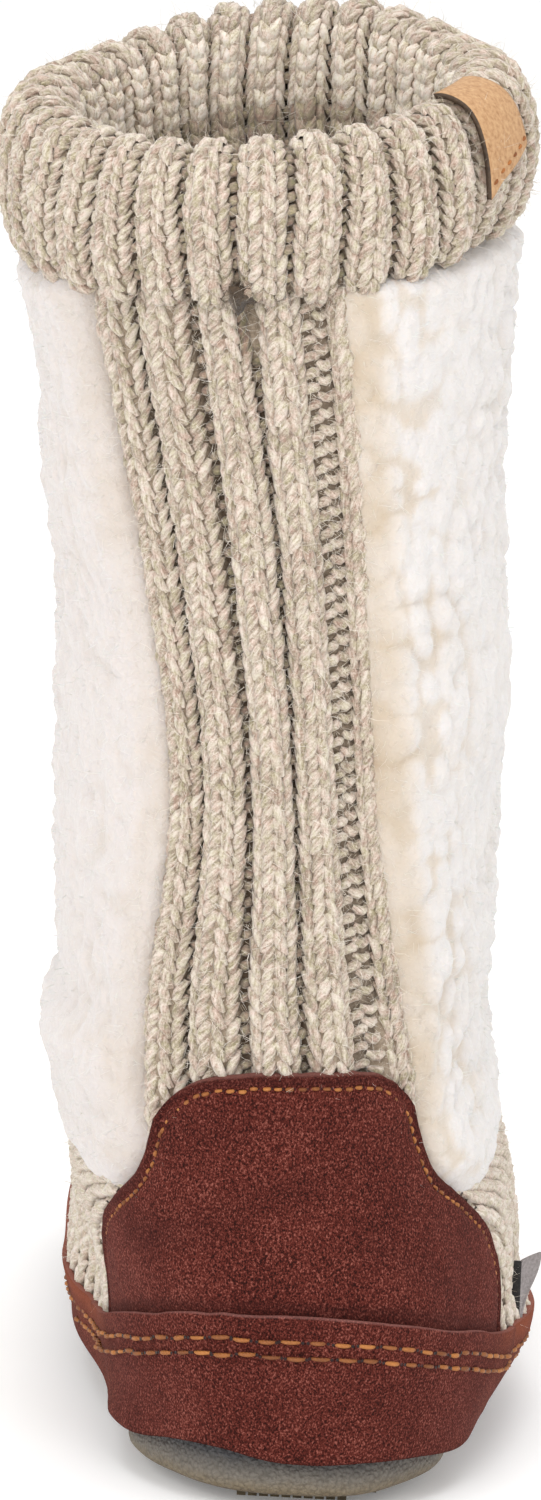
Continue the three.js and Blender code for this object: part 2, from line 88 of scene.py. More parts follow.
AROUND_STEP = 0.004  # turn between points when a section is measured

# Edges of the pieces sewn to the sock body
FOXING_TOP = (  # heights of the sidewall's top edge, by distance along the foot
    (-38, -34, -27, -15, 2, 24, 60, 125, 190, 226),
    (40.6, 39.6, 37.8, 34, 29.2, 25, 21.5, 19.5, 21, 22.5),
)
FOXING_FOOT_RISE = (  # lift of the sidewall's lower edge, by turn round from the back
    (-1.0, -0.8, -0.6, -0.4, -0.2, 0, 0.2, 0.4, 0.6, 0.8, 1.0),
    (0.2, -1.0, 0.0, 2.7, 3.4, 1.6, 1.8, 1.3, -0.2, -0.5, 0.2),
)
HEEL_TAPER = {1: 2.8, -1: -1.0}  # how far the heel draws in at its foot on the outer and the inner side
TAPER_TURNS = {  # turns from the back at which that starts, is full, fades and ends
    1: (0.6, 0.9, 1.2, 1.6),
    -1: (0.45, 0.65, 0.78, 0.95),
}
FOXING_FOOT = 7.4
PATCH_HALF = (  # half widths of the heel patch, by height
    (20, 36, 43, 50, 57, 62.5, 70, 80),
    (62, 61.2, 58.2, 52, 41.4, 32.8, 28.3, 25.4),
)
PATCH_LEAN = (  # and how far it stands over to the outer side
    (20, 36, 43, 50, 57, 63, 72, 86),
    (0, 0.3, 1.8, 3, 4, 3.5, 4.2, 4.6),
)
PATCH_CROWN = 84.2
PATCH_CORNER_DROP = 9
PATCH_CORNER_POWER = 6
PATCH_INNER_DROP = 3.2

# The knit strip up the back: its two edges, measured across the foot from the section's middle
STRIP_HEIGHTS = (40, 80, 98, 114, 134, 152, 172, 190, 208, 228)
STRIP_INNER = (-25, -23.6, -22.6, -20.4, -18.9, -20.2, -23.2, -25.8, -29, -32)
STRIP_OUTER = (27, 26.4, 24.2, 21.8, 19.2, 18, 17, 16.2, 15.3, 14.5)
FRONT_STRIP_HALF = 21

# Outline of the sherpa panels
SHERPA_HEM = (55, 108)  # at the back strip and at the front one
SHERPA_HEM_SWEEP = 2.4
SHERPA_TOP = 235

# Folded cuff: distance out from the sock body and height, from its outer hem over the rim to its inner hem
CUFF_OUT = (0.3, 2.0, 4, 4.9, 5.1, 4.4, 2.0, -2.4, -6.4, -8.4, -8.6, -8.2, -6.2)
CUFF_HEIGHT = (235, 233.2, 235.5, 242, 250, 258, 264.6, 266.4, 264, 257, 244, 227, 225.4)
CUFF_RIBS = 32
CUFF_RIM = 250.0  # the ribs are spaced out round the sock body at this height
CUFF_GRID = (384, 44)
CUFF_TURN = 47  # past this the cuff faces in
CUFF_DEEP = 62  # and past this it lies in shade
CUFF_INSIDE_VALLEY = 1.6  # how much deeper the valleys of its inner face are
CUFF_SWAY = 2.2  # how far the ribs wander sideways
CUFF_PUFF = 0.9
CUFF_SETTLED = 0.14  # the rim sits lower at the back and the sides than at the front
CUFF_OUTER_HEM = 3.0  # the hem sits higher on the outer side
CUFF_BACK_FLAT = 0.45  # the cuff runs into the back strip
CUFF_DENTS = (  # place round it, distance from the hem, depth, half width and half length
    (-2.8, 1.5, 1.3, 3.0, 6),  # the dimple at the hem
    (-31, 30, 1.2, 9, 12),
    (22, 26, 1.0, 8, 14),
    (48, 6, 1.4, 7, 7),
)

# Rib knit: two plain wales and a purl valley make a rib, and each stitch is a V of two strands
RIB_PITCH = 9.3
CUFF_ROUND = CUFF_RIBS * RIB_PITCH
WALE = 3.7
STITCH_ROW = 3.1
FOOT_RIB_PITCH = 10.0
FOOT_ROW = 3.4
STRAND_LENGTH = 5.4
STRAND_THICK = 2.2
STRAND_LEAN = 1.8
FOOT_STRAND_THICK = 2.35
CUFF_STRAND_THICK = 2.25
RIB_RISE = 1.2
RIB_ROUND = 0.2
RIB_FILL = -0.25  # the felted ground between the strands, above their middles
VALLEY_DEPTH = 2.6
PURL_LENGTH = 1.5
PURL_THICK = 1.9
PURL_REACH = 2.9
PURL_RISE = -1.8
PURL_BEND = 1.1  # bow of the purl loops in the wide valley
PURL_ARC_RISE = -0.9
FIBRE_WIDTH = 0.085
FIBRE_LENGTH = (0.9, 3.2)
FIBRE_LIFT = 0.7
FOOT_RIBS = 31  # to each side of the front seam
FOOT_FROM_HEEL = (26, 60)  # its knit starts this far round from the back seam, low down and high up
FOOT_HIGH = 62
UNDER_PATCH = (-1, 2.5)  # where the knit sinks under the heel patch's edge

# Ribs and valleys of the back strip, as shares of its width
BACK_WIDTH = 44
BACK_RIBS = (0.078, 0.272, 0.516, 0.735)
BACK_RIB_SPREAD = (0.86, 1.12, 1.06, 1.0)
BACK_EDGE_RIB = 0.98
BACK_EDGE_SPREAD = 0.45
BACK_VALLEYS = (0.163, 0.394, 0.627)
BACK_WIDE_VALLEY = (0.855, 0.907)
BACK_WIDE_EDGES = (0.8, 0.83, 0.94, 0.96)
BACK_WIDE_DEPTH = 1.5
BACK_VALLEY_SINK = -0.6
BACK_FOOT = 50  # the strip goes on under the heel patch down to here
BACK_GROUND_FOOT = 52
BACK_STITCH_FOOT = 54
BACK_TUCK = (231, 238)  # where the strip goes under the cuff
BACK_TUCK_SINK = 1.4
BACK_GRID = (110, 60)

# The dimple at the cuff's hem goes on into the top of the back strip, with painted shade in it
DIMPLE_ACROSS = 26.8
DIMPLE_FOOT = 218
DIMPLE_HEIGHT = 227
DIMPLE_HALF = (3, 6)
DIMPLE_SHADE = 2.6
DIMPLE_DEPTH = 2.4
DIMPLE_FIBRES = 800

# How the knit is measured
CHART_TOP = 246
FOOT_CHART_FOOT = 15
HEEL_HEIGHTS = np.arange(14.0, 95.0, 1.0)


def smooth(keys, values, at):
    """Smooth curve through a table's rows, each slope taken from the neighbouring rows."""
    keys = np.asarray(keys, float)
    values = np.asarray(values, float)
    slope = np.empty_like(values)
    slope[1:-1] = (values[2:] - values[:-2]) / (keys[2:] - keys[:-2])
    slope[0] = (values[1] - values[0]) / (keys[1] - keys[0])
    slope[-1] = (values[-1] - values[-2]) / (keys[-1] - keys[-2])
    at = np.clip(at, keys[0], keys[-1])
    low = np.clip(np.searchsorted(keys, at, side="right") - 1, 0, len(keys) - 2)
    span = keys[low + 1] - keys[low]
    u = (at - keys[low]) / span
    ease = u * u * (3 - 2 * u)
    lift = span * u * (1 - u) * (slope[low] * (1 - u) - slope[low + 1] * u)
    return values[low] + (values[low + 1] - values[low]) * ease + lift


def ramp(value, low, high):
    """0 below low, 1 above high, and an S between them."""
    t = np.clip((value - low) / (high - low), 0, 1)
    return t * t * (3 - 2 * t)


def hill(across, along, wide, tall):
    """A soft round hill: 1 in its middle and almost nothing at twice its half sizes."""
    return np.exp(-((across / wide) ** 2) - (along / tall) ** 2)


def unit(vectors):
    return vectors / np.maximum(np.linalg.norm(vectors, axis=-1, keepdims=True), 1e-12)


SECTIONS = dict(zip(SECTION_COLUMNS, np.transpose(SECTION_ROWS)))


def section(name, height):
    return smooth(SECTIONS["height"], SECTIONS[name], height)


def foxing_top(along):
    return smooth(*FOXING_TOP, along)


def patch_half(height):
    return smooth(*PATCH_HALF, height)


def patch_slant(height):
    """How much longer the patch's side edge is than its rise."""
    step = 0.5
    slope = (patch_half(height + step) - patch_half(height - step)) / (2 * step)
    return np.sqrt(1 + slope**2)


def patch_lean(height):
    return smooth(*PATCH_LEAN, height)


def patch_crown(share):
    """Height of the patch's top edge at a share of its half width, lower towards the inner side."""
    corner = PATCH_CORNER_DROP * np.abs(share) ** PATCH_CORNER_POWER
    return PATCH_CROWN - corner - PATCH_INNER_DROP * np.maximum(0, -share) ** 1.5


def back_turn(angle):
    """Turn round from the back, positive to the outer side."""
    return (angle + QUARTER + math.pi) % (2 * math.pi) - math.pi


def foxing_foot(angle):
    """Height of the sidewall's lower edge."""
    return FEATHER_EDGE + 0.5 + smooth(*FOXING_FOOT_RISE, back_turn(angle))


def heel_taper(angle):
    """How far the heel draws in at its foot."""
    turn = back_turn(angle)
    drawn = {}
    for side, (start, full, fade, end) in TAPER_TURNS.items():
        drawn[side] = HEEL_TAPER[side] * ramp(side * turn, start, full) * (1 - ramp(side * turn, fade, end))
    return drawn[1] + drawn[-1]


def signed_power(value, power):
    return np.sign(value) * np.abs(value) ** power


def toe_spring(along, height):
    past = np.maximum(0, along - SPRING_START) / (TOE_END - SPRING_START)
    return TOE_SPRING * past**2 * (1 - ramp(height, *SPRING_FADE))


def wall(angle, height):
    """A point on the sock body's outside; the angle runs from the outer side by the toe."""
    angle, height = np.broadcast_arrays(np.asarray(angle, float), np.asarray(height, float))
    across = np.cos(angle)
    along = np.sin(angle)
    widest = section("widest", height)
    ahead = along > 0
    power = 2 / np.where(ahead, section("front_power", height), section("back_power", height))
    reach = np.where(ahead, section("front", height) - widest, widest - section("back", height))
    u = signed_power(across, power)
    v = signed_power(along, power)
    y = widest + reach * v
    low = 1 - ramp(height, *WAIST_FADE)
    waist = np.exp(-(((y - ARCH_CENTRE) / ARCH_SPAN) ** 2)) * low
    pull = np.where(across > 0, OUTER_WAIST, INNER_WAIST)
    swing = np.maximum(0, y - SWING_START) / (TOE_END - SWING_START)
    middle = section("lean", height) - TOE_SWING * low * swing**2
    high = (1 - SLIM_LOW) * ramp(y, *SLIM_HIGH_ALONG) * ramp(height, *SLIM_RISE)
    slim = np.where(across > 0, OUTER_SLIM, INNER_SLIM) * (SLIM_LOW * ramp(y, *SLIM_ALONG) + high)
    slim = slim * (1 - ramp(height, *SLIM_FADE))
    x = middle + (section("half", height) - pull * waist - slim) * u
    tilt = ramp(height, ANKLE_HEIGHT, COLLAR_HEIGHT)
    rise = toe_spring(y, height) + tilt * (COLLAR_FRONT_RISE * v + COLLAR_OUTER_RISE * u)
    return np.stack([x, y, height + rise], -1)


def wall_normal(angle, height):
    """The way out of the sock body, from points a small step round and a small step up."""
    turn = 0.01
    rise = 0.5
    round_way = wall(angle + turn, height) - wall(angle - turn, height)
    up_way = wall(angle, height + rise) - wall(angle, height - rise)
    return unit(np.cross(round_way, up_way))


def off_wall(angle, height, out):
    """The wall's point moved out along its own normal."""
    return wall(angle, height) + wall_normal(angle, height) * np.asarray(out)[..., None]


def off_level(angle, height, out):
    """The wall's point moved out level, with the toe spring of its new place."""
    normal = wall_normal(angle, height)
    normal[..., 2] = 0
    point = wall(angle, height)
    moved = point + unit(normal) * np.asarray(out)[..., None]
    moved[..., 2] += toe_spring(moved[..., 1], height) - toe_spring(point[..., 1], height)
    return moved


def soft_noise(x, y, cell, seed):
    """Smooth random hills from -1 to 1, one for each cell."""
    cells = 97
    table = np.random.default_rng(seed).uniform(-1, 1, (cells, cells))
    x = np.asarray(x) / cell
    y = np.asarray(y) / cell
    i = np.floor(x).astype(int)
    j = np.floor(y).astype(int)
    u = x - i
    v = y - j
    u = u * u * (3 - 2 * u)
    v = v * v * (3 - 2 * v)

    def corner(a, b):
        return table[(i + a) % cells, (j + b) % cells]

    low = corner(0, 0) * (1 - u) + corner(1, 0) * u
    high = corner(0, 1) * (1 - u) + corner(1, 1) * u
    return low * (1 - v) + high * v


def tufts(x, y, width, length, size, seed):
    """Distance to the nearest of many scattered tufts of uneven size: 0 in its middle and 1 at its edge."""
    cells = 61
    random = np.random.default_rng(seed)
    spots = random.uniform(0.1, 0.9, (cells, cells, 2))
    sizes = random.uniform(*size, (cells, cells))
    x = np.asarray(x) / width
    y = np.asarray(y) / length
    i = np.floor(x).astype(int)
    j = np.floor(y).astype(int)
    near = np.full(x.shape, 9.0)
    for a in (-1, 0, 1):
        for b in (-1, 0, 1):
            cell = ((i + a) % cells, (j + b) % cells)
            spot = spots[cell]
            away = np.hypot(i + a + spot[..., 0] - x, j + b + spot[..., 1] - y)
            near = np.minimum(near, away / sizes[cell])
    return near


# Mesh helpers
def deselect():
    if bpy.context.mode != "OBJECT":
        bpy.ops.object.mode_set(mode="OBJECT")
    bpy.ops.object.select_all(action="DESELECT")


def edit(piece, *steps):
    """Runs mesh operators on the whole of a piece in edit mode."""
    deselect()
    bpy.context.view_layer.objects.active = piece
    piece.select_set(True)
    bpy.ops.object.mode_set(mode="EDIT")
    bpy.ops.mesh.select_all(action="SELECT")
    for step in steps:
        step()
    bpy.ops.object.mode_set(mode="OBJECT")


def weld():
    bpy.ops.mesh.remove_doubles(threshold=1e-6)


def face_out():
    bpy.ops.mesh.normals_make_consistent(inside=False)


def apply(piece, kind, **settings):
    """Adds a modifier with these settings and applies it."""
    deselect()
    bpy.context.view_layer.objects.active = piece
    piece.select_set(True)
    modifier = piece.modifiers.new(kind.title(), kind)
    for key, value in settings.items():
        setattr(modifier, key, value)
    bpy.ops.object.modifier_apply(modifier=modifier.name)


def points_of(piece):
    flat = np.empty(len(piece.data.vertices) * 3)
    piece.data.vertices.foreach_get("co", flat)
    return flat.reshape(-1, 3)


def move_points(piece, points):
    piece.data.vertices.foreach_set("co", np.asarray(points, np.float32).ravel())
    piece.data.update()


def laid_grid(name, grid, place):
    """A flat grid of columns and rows shaped on to a surface: place(u, v) gives points in millimetres."""
    deselect()
    columns, rows = grid
    bpy.ops.mesh.primitive_grid_add(x_subdivisions=columns, y_subdivisions=rows, size=2, location=(0, 0, 0))
    piece = bpy.context.object
    piece.name = name
    piece.data.name = name
    share = (points_of(piece)[:, :2] + 1) / 2
    move_points(piece, place(share[:, 0], share[:, 1]) * MM)
    return piece


def grid_shares(grid):
    """The shares across and along a laid grid of each of its points."""
    across, along = np.meshgrid(*(np.linspace(0, 1, count + 1) for count in grid))
    return across.ravel(), along.ravel()


def point_values(piece, name, values):
    layer = piece.data.attributes.new(name, "FLOAT", "POINT")
    layer.data.foreach_set("value", np.asarray(values, np.float32).ravel())


def joined_mesh(name, points, faces, uv=None):
    """One mesh from arrays of points, in millimetres, and faces."""
    mesh = bpy.data.meshes.new(name)
    mesh.from_pydata((points.reshape(-1, 3) * MM).tolist(), [], faces.tolist())
    if uv is not None:
        layer = mesh.uv_layers.new(name="UVMap")
        layer.data.foreach_set("uv", uv.astype(np.float32).ravel())
    piece = bpy.data.objects.new(name, mesh)
    bpy.context.scene.collection.objects.link(piece)
    return piece


def smooth_shade(piece):
    piece.data.polygons.foreach_set("use_smooth", np.ones(len(piece.data.polygons), bool))
    piece.data.update()


def finish_piece(piece, slot, materials, *nodes):
    """Gives a piece its materials and its place in the frame, and hides the nodes that it stands for."""
    for material in materials:
        piece.data.materials.append(material)
    smooth_shade(piece)
    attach(piece, "root")
    if nodes:
        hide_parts(*nodes)
    return piece


class Chart:
    """A stretch of surface ruled off by s across its ribs and t along them."""

    def __init__(self, s, t, points, outward=1, **tables):
        self.s = s
        self.t = t
        self.points = points
        self.tables = tables
        round_way = np.gradient(points, axis=0)
        long_way = np.gradient(points, axis=1)
        self.normals = unit(np.cross(round_way, long_way)) * outward

    def read(self, table, s, t):
        i = np.clip((s - self.s[0]) / (self.s[1] - self.s[0]), 0, len(self.s) - 1.001)
        j = np.clip((t - self.t[0]) / (self.t[1] - self.t[0]), 0, len(self.t) - 1.001)
        low_i = i.astype(int)
        low_j = j.astype(int)
        u = i - low_i
        v = j - low_j
        if table.ndim == 3:
            u = u[..., None]
            v = v[..., None]
        near = table[low_i, low_j] * (1 - u) + table[low_i + 1, low_j] * u
        far = table[low_i, low_j + 1] * (1 - u) + table[low_i + 1, low_j + 1] * u
        return near * (1 - v) + far * v

    def at(self, s, t):
        return self.read(self.points, s, t), unit(self.read(self.normals, s, t))

    def value(self, name, s, t):
        return self.read(self.tables[name], s, t)


def tubes(name, centres, normals, radius, flat, sides, tone):
    """Many short tubes as one mesh: centres and normals are (tube, ring, 3), radius is (tube, ring)."""
    count, rings = radius.shape
    along = unit(np.gradient(centres, axis=1))
    side = unit(np.cross(along, normals))
    turn = np.arange(sides) * 2 * math.pi / sides
    spread = np.cos(turn)[:, None] * side[:, :, None, :]
    spread = spread + flat * np.sin(turn)[:, None] * normals[:, :, None, :]
    points = centres[:, :, None, :] + radius[:, :, None, None] * spread
    ring_at = np.arange(rings - 1)[:, None]
    side_at = np.arange(sides)[None, :]
    next_side = (side_at + 1) % sides
    quad = np.stack(np.broadcast_arrays(
        ring_at * sides + side_at,
        ring_at * sides + next_side,
        (ring_at + 1) * sides + next_side,
        (ring_at + 1) * sides + side_at,
    ), -1).reshape(-1, 4)
    faces = (np.arange(count)[:, None, None] * rings * sides + quad).reshape(-1, 4)
    u = np.stack(np.broadcast_arrays(ring_at, ring_at, ring_at + 1, ring_at + 1 + 0 * side_at), -1)
    v = np.stack(np.broadcast_arrays(side_at + 0 * ring_at, side_at + 1, side_at + 1, side_at), -1)
    uv = np.stack([u / (rings - 1), v / sides], -1).reshape(-1, 2)
    piece = joined_mesh(name, points, faces, np.tile(uv, (count, 1)))
    point_values(piece, "tone", np.repeat(tone, rings * sides))
    return piece


def ribbons(name, roots, directions, normals, length, width, curl, tone, seed):
    """Many fine fibres as one mesh of narrow curved ribbons."""
    steps = 3
    random = np.random.default_rng(seed)
    count = len(roots)
    u = np.linspace(0, 1, steps)[None, :, None]
    bend = unit(random.normal(size=(count, 3)))[:, None, :]
    sweep = length[:, None, None] * (directions[:, None, :] * u + bend * (curl * u**2))
    centres = roots[:, None, :] + sweep
    side = unit(np.cross(directions, normals + 0.3 * unit(random.normal(size=(count, 3)))))[:, None, :]
    half = width / 2 * (1 - 0.7 * u)
    points = np.stack([centres - side * half, centres + side * half], 2)
    step_at = np.arange(steps - 1)[:, None] * 2
    quad = step_at + np.array([[0, 1, 3, 2]])
    faces = (np.arange(count)[:, None, None] * steps * 2 + quad).reshape(-1, 4)
    piece = joined_mesh(name, points, faces)
    point_values(piece, "tone", np.repeat(tone, steps * 2))
    return piece


# Edges on the sock body
def sherpa_edges(height, side):
    """Angles of a sherpa panel's back and front seams at a height."""
    edge = smooth(STRIP_HEIGHTS, STRIP_OUTER if side > 0 else STRIP_INNER, height)
    half = section("half", height)
    back = -np.arccos(signed_power(edge / half, section("back_power", height) / 2))
    front = np.arccos(side * FRONT_STRIP_HALF / half)
    return back, front if side > 0 else front - 2 * math.pi


def under_sherpa(angle, height, side, margin):
    back, front = sherpa_edges(height, side)
    share = (angle - back) / (front - back)
    hem = SHERPA_HEM[0] + (SHERPA_HEM[1] - SHERPA_HEM[0]) * np.clip(share, 0, 1) ** SHERPA_HEM_SWEEP
    room = margin / 90
    return (share > room) & (share < 1 - room) & (height > hem + margin)


def heel_rulers():
    """Distances round from the back seam for each side, by turn from it and height."""
    turns = np.linspace(0, math.pi, 786)
    found = {}
    for side in (1, -1):
        points = wall((side * turns - QUARTER)[:, None], HEEL_HEIGHTS[None, :])
        step = np.linalg.norm(np.diff(points[..., :2], axis=0, prepend=points[:1, :, :2]), axis=2)
        found[side] = Chart(turns, HEEL_HEIGHTS, points, arc=np.cumsum(step, 0))
    return found


def patch_gap(angle, height):
    """Distance out from the heel patch's edge, negative under the patch."""
    turn = back_turn(angle)
    outer = rulers[1].value("arc", np.abs(turn), height)
    inner = rulers[-1].value("arc", np.abs(turn), height)
    arc = np.where(turn > 0, outer, -inner) - patch_lean(height)
    half = patch_half(height)
    crown = patch_crown(np.clip(arc / half, -1, 1))
    return np.maximum((np.abs(arc) - half) / patch_slant(height), height - crown)


# Charts of the knit
def walked_angles(angles, heights, reach):
    """Angles found by walking distances round each section, and how far round each section goes."""
    points = wall(angles[None, :], heights[:, None])
    step = np.linalg.norm(np.diff(points[..., :2], axis=1), axis=2)
    arc = np.concatenate([np.zeros((len(heights), 1)), np.cumsum(step, 1)], 1)
    return np.array([np.interp(reach, arc[row], angles) for row in range(len(heights))]).T, arc[:, -1]


def both_sides(inner, outer):
    """Joins what was measured from one line to the inner and to the outer side."""
    return np.concatenate([inner[:0:-1], outer])


def back_chart():
    """The strip up the back: s across it in millimetres of BACK_WIDTH, t its height."""
    s = np.linspace(-3, BACK_WIDTH + 3, 61)
    t = np.linspace(BACK_FOOT, CHART_TOP, 197)
    share = (s / BACK_WIDTH)[:, None]
    inner = smooth(STRIP_HEIGHTS, STRIP_INNER, t)
    outer = smooth(STRIP_HEIGHTS, STRIP_OUTER, t)
    edge = inner + (outer - inner) * share
    power = section("back_power", t) / 2
    angle = -np.arccos(np.clip(signed_power(edge / section("half", t), power), -1, 1))
    height = np.broadcast_to(t, angle.shape)
    dimple = hill(s[:, None] - DIMPLE_ACROSS, height - DIMPLE_HEIGHT, *DIMPLE_HALF)
    points = wall(angle, height) - wall_normal(angle, height) * (DIMPLE_DEPTH * dimple)[..., None]
    return Chart(s, t, points, angle=angle)


def foot_chart():
    """The front of the shaft, the vamp and the foot's sides: s is the distance round from the front seam,
    positive to the outer side, and t the distance down from the cuff."""
    heights = np.arange(CHART_TOP, FOOT_CHART_FOOT, -1.0)
    reach = np.arange(0.0, 322.0, 2.0)
    angles = {}
    heels = {}
    for side in (1, -1):
        turns = QUARTER - side * np.arange(0, math.pi, AROUND_STEP)
        angles[side], whole = walked_angles(turns, heights, reach)
        heels[side] = whole[None, :] - reach[:, None]
    angle = both_sides(angles[-1], angles[1])
    heel = both_sides(heels[-1], heels[1])
    s = both_sides(-reach, reach)
    points = wall(angle, heights[None, :])
    length = np.cumsum(np.linalg.norm(np.diff(points, axis=1, prepend=points[:, :1]), axis=2), 1)
    t = np.arange(0, length.max(), 1.5)

    def even(table):
        return np.array([np.interp(t, length[row], table[row]) for row in range(len(s))])

    past = t[None, :] > length[:, -1:]
    level = np.where(past, 0, even(np.broadcast_to(heights, length.shape)))
    laid = np.stack([even(points[..., axis]) for axis in range(3)], -1)
    return Chart(s, t, laid, angle=even(angle), heel=even(heel), height=level)


def cuff_path():
    """Distance along the cuff's section from its outer hem, with the distance out and the height there."""
    step = np.hypot(np.diff(CUFF_OUT), np.diff(CUFF_HEIGHT))
    along = np.concatenate([[0], np.cumsum(step)])
    even = np.linspace(0, along[-1], 90)
    return even, smooth(along, CUFF_OUT, even), smooth(along, CUFF_HEIGHT, even)


def round_cuff(s, place):
    """Distance round the cuff from a place on it, by the shorter way."""
    return (s - place + CUFF_ROUND / 2) % CUFF_ROUND - CUFF_ROUND / 2


def cuff_chart():
    """The cuff: s counts ribs in millimetres of their pitch round the rim, t runs over the fold."""
    t, out, height = cuff_path()
    angles = np.arange(-QUARTER, 2 * math.pi - QUARTER + AROUND_STEP, AROUND_STEP)
    rim = wall(angles, CUFF_RIM)
    arc = np.concatenate([[0], np.cumsum(np.linalg.norm(np.diff(rim, axis=0), axis=1))])
    share = np.linspace(-0.03, 1.03, 425)
    s = share * CUFF_ROUND
    whole = (share % 1)[:, None] * CUFF_ROUND
    sway = CUFF_SWAY * soft_noise(whole, t[None, :], 31, 12) * np.sin(math.pi * whole / CUFF_ROUND) ** 0.5
    swayed = share[:, None] + sway / CUFF_ROUND
    angle = np.interp(swayed % 1, arc / arc[-1], angles) + np.floor(swayed) * 2 * math.pi
    turn = np.abs(back_turn(angle))
    flat = CUFF_BACK_FLAT * (1 - ramp(turn, 0.3, 0.75)) * (1 - ramp(t, 8, 26))[None, :]
    out = out[None, :] * (1 - flat)
    outer_side = np.cos(angle) > 0
    low = CUFF_SETTLED * (1 - ramp(turn, np.where(outer_side, 1.9, 2.3), np.where(outer_side, 2.9, 3.1)))
    height = CUFF_HEIGHT[0] + (height[None, :] - CUFF_HEIGHT[0]) * (1 - low)
    height = height + CUFF_OUTER_HEM * ramp(np.cos(angle), 0.35, 0.95) * (1 - ramp(t, 4, 24))[None, :]
    points = off_level(angle, height, out)
    plain = Chart(s, t, points)
    dent = CUFF_PUFF * soft_noise(whole, t[None, :], 26, 11) * np.sin(math.pi * t / t[-1])[None, :]
    for place, level, depth, wide, tall in CUFF_DENTS:
        dent = dent - depth * hill(round_cuff(whole, place), t[None, :] - level, wide, tall)
    return Chart(s, t, points + plain.normals * dent[..., None])


back = back_chart()
foot = foot_chart()
cuff = cuff_chart()
rulers = heel_rulers()


def rib_strands(ribs, rows, random, spread=1.0):
    """Middle, lean and rise of the strands of some ribs: four strands in each row of each rib."""
    rib, row = np.meshgrid(ribs, rows, indexing="ij")
    spread = np.broadcast_to(spread, len(ribs))[:, None] + np.zeros_like(rib)
    columns = []
    for wale in (-0.5, 0.5):
        for leg in (-1, 1):
            shift = wale * WALE + leg * WALE / 4
            lean = leg * STRAND_LEAN * spread
            rise = np.full(rib.shape, RIB_RISE - RIB_ROUND * shift**2)
            columns.append(np.stack([rib + shift * spread, row, lean, rise]))
    s, t, lean, rise = np.stack(columns, 1).reshape(4, -1)
    count = len(s)
    s = s + random.normal(0, 0.1, count)
    t = t + random.normal(0, 0.14, count)
    lean = lean * random.uniform(0.8, 1.2, count)
    rise = rise + random.normal(0, 0.1, count)
    return s, t, lean, rise


def purl_strands(valleys, rows, random):
    """The purl loops down in the valleys, lying across them and tilted by turns."""
    valley, row = np.meshgrid(valleys, rows, indexing="ij")
    count = valley.size
    s = valley.ravel() + random.normal(0, 0.15, count)
    t = row.ravel() + random.normal(0, 0.2, count)
    lean = PURL_REACH * random.uniform(0.8, 1.2, count)
    return s, t, lean, random.normal(PURL_RISE, 0.12, count)


def purl_arcs(columns, rows, random):
    """Purl loops of a wide valley: arcs up and arcs down by turns, so that they lock together."""
    s = []
    t = []
    bend = []
    for way, column in zip((1, -1), columns):
        s.append(np.full(len(rows), column))
        t.append(rows + (0 if way > 0 else STITCH_ROW / 2))
        bend.append(np.full(len(rows), PURL_BEND * way))
    s = np.concatenate(s) + random.normal(0, 0.15, 2 * len(rows))
    t = np.concatenate(t) + random.normal(0, 0.15, 2 * len(rows))
    lean = PURL_REACH * random.uniform(0.95, 1.25, len(s))
    return s, t, lean, random.normal(PURL_ARC_RISE, 0.12, len(s)), np.concatenate(bend)


def lay_strands(name, chart, s, t, lean, rise, random, rings=5, sides=6, length=STRAND_LENGTH,
                thick=STRAND_THICK, bend=0.0):
    """Strands of yarn on a chart: each comes up over the stitch before it and goes down behind the next."""
    count = len(s)
    u = np.linspace(0, 1, rings)
    long = length * random.uniform(0.92, 1.1, count)
    arch = np.broadcast_to(bend, count)[:, None] * (np.sin(math.pi * u) - 0.6)
    across = s[:, None] + lean[:, None] * (u - 0.5)
    points, normals = chart.at(across, t[:, None] + long[:, None] * (u - 0.5) + arch)
    bow = np.sin(math.pi * u) ** 0.7
    dip = np.where(u < 0.5, 0.8, 1.5) * (1 - bow)
    centres = points + normals * (rise[:, None] - dip)[..., None]
    radius = thick / 2 * random.uniform(0.88, 1.12, count)[:, None] * (0.62 + 0.38 * bow)
    return tubes(name, centres, normals, radius, 0.85, sides, random.uniform(0, 1, count))


def lay_fuzz(name, chart, s, t, rise, count, seed, material=None):
    """Loose fibres standing off the yarn."""
    random = np.random.default_rng(seed)
    pick = random.integers(0, len(s), count)
    across = s[pick] + random.normal(0, 0.9, count)
    points, normals = chart.at(across, t[pick] + random.normal(0, 1.5, count))
    roots = points + normals * (rise[pick] + FIBRE_LIFT)[:, None]
    directions = unit(normals * random.uniform(0.1, 0.7, (count, 1)) + unit(random.normal(size=(count, 3))))
    length = random.uniform(*FIBRE_LENGTH, count)
    tone = random.uniform(0, 1, count)
    piece = ribbons(name, roots, directions, normals, length, FIBRE_WIDTH, 0.7, tone, seed + 1)
    return finish_piece(piece, "knit", [material or yarn_fuzz])


# Materials
def colour(code):
    """Linear colour of a six-digit code."""
    parts = [int(code[k : k + 2], 16) / 255 for k in (0, 2, 4)]
    return tuple(p / 12.92 if p <= 0.04045 else ((p + 0.055) / 1.055) ** 2.4 for p in parts) + (1.0,)


def add(tree, kind, inputs=None, **settings):
    """Adds a node; an input that is a socket is linked, and any other is set."""
    node = tree.nodes.new(kind)
    for key, value in settings.items():
        setattr(node, key, value)
    for key, value in (inputs or {}).items():
        if isinstance(value, bpy.types.NodeSocket):
            tree.links.new(value, node.inputs[key])
        else:
            node.inputs[key].default_value = value
    return node


def ramp_node(tree, factor, *stops):
    """A colour ramp; each stop is a place and a colour code."""
    node = add(tree, "ShaderNodeValToRGB", {"Fac": factor})
    elements = node.color_ramp.elements
    while len(elements) < len(stops):
        elements.new(1.0)
    for element, (place, code) in zip(elements, stops):
        element.position = place
        element.color = colour(code)
    return node.outputs["Color"]


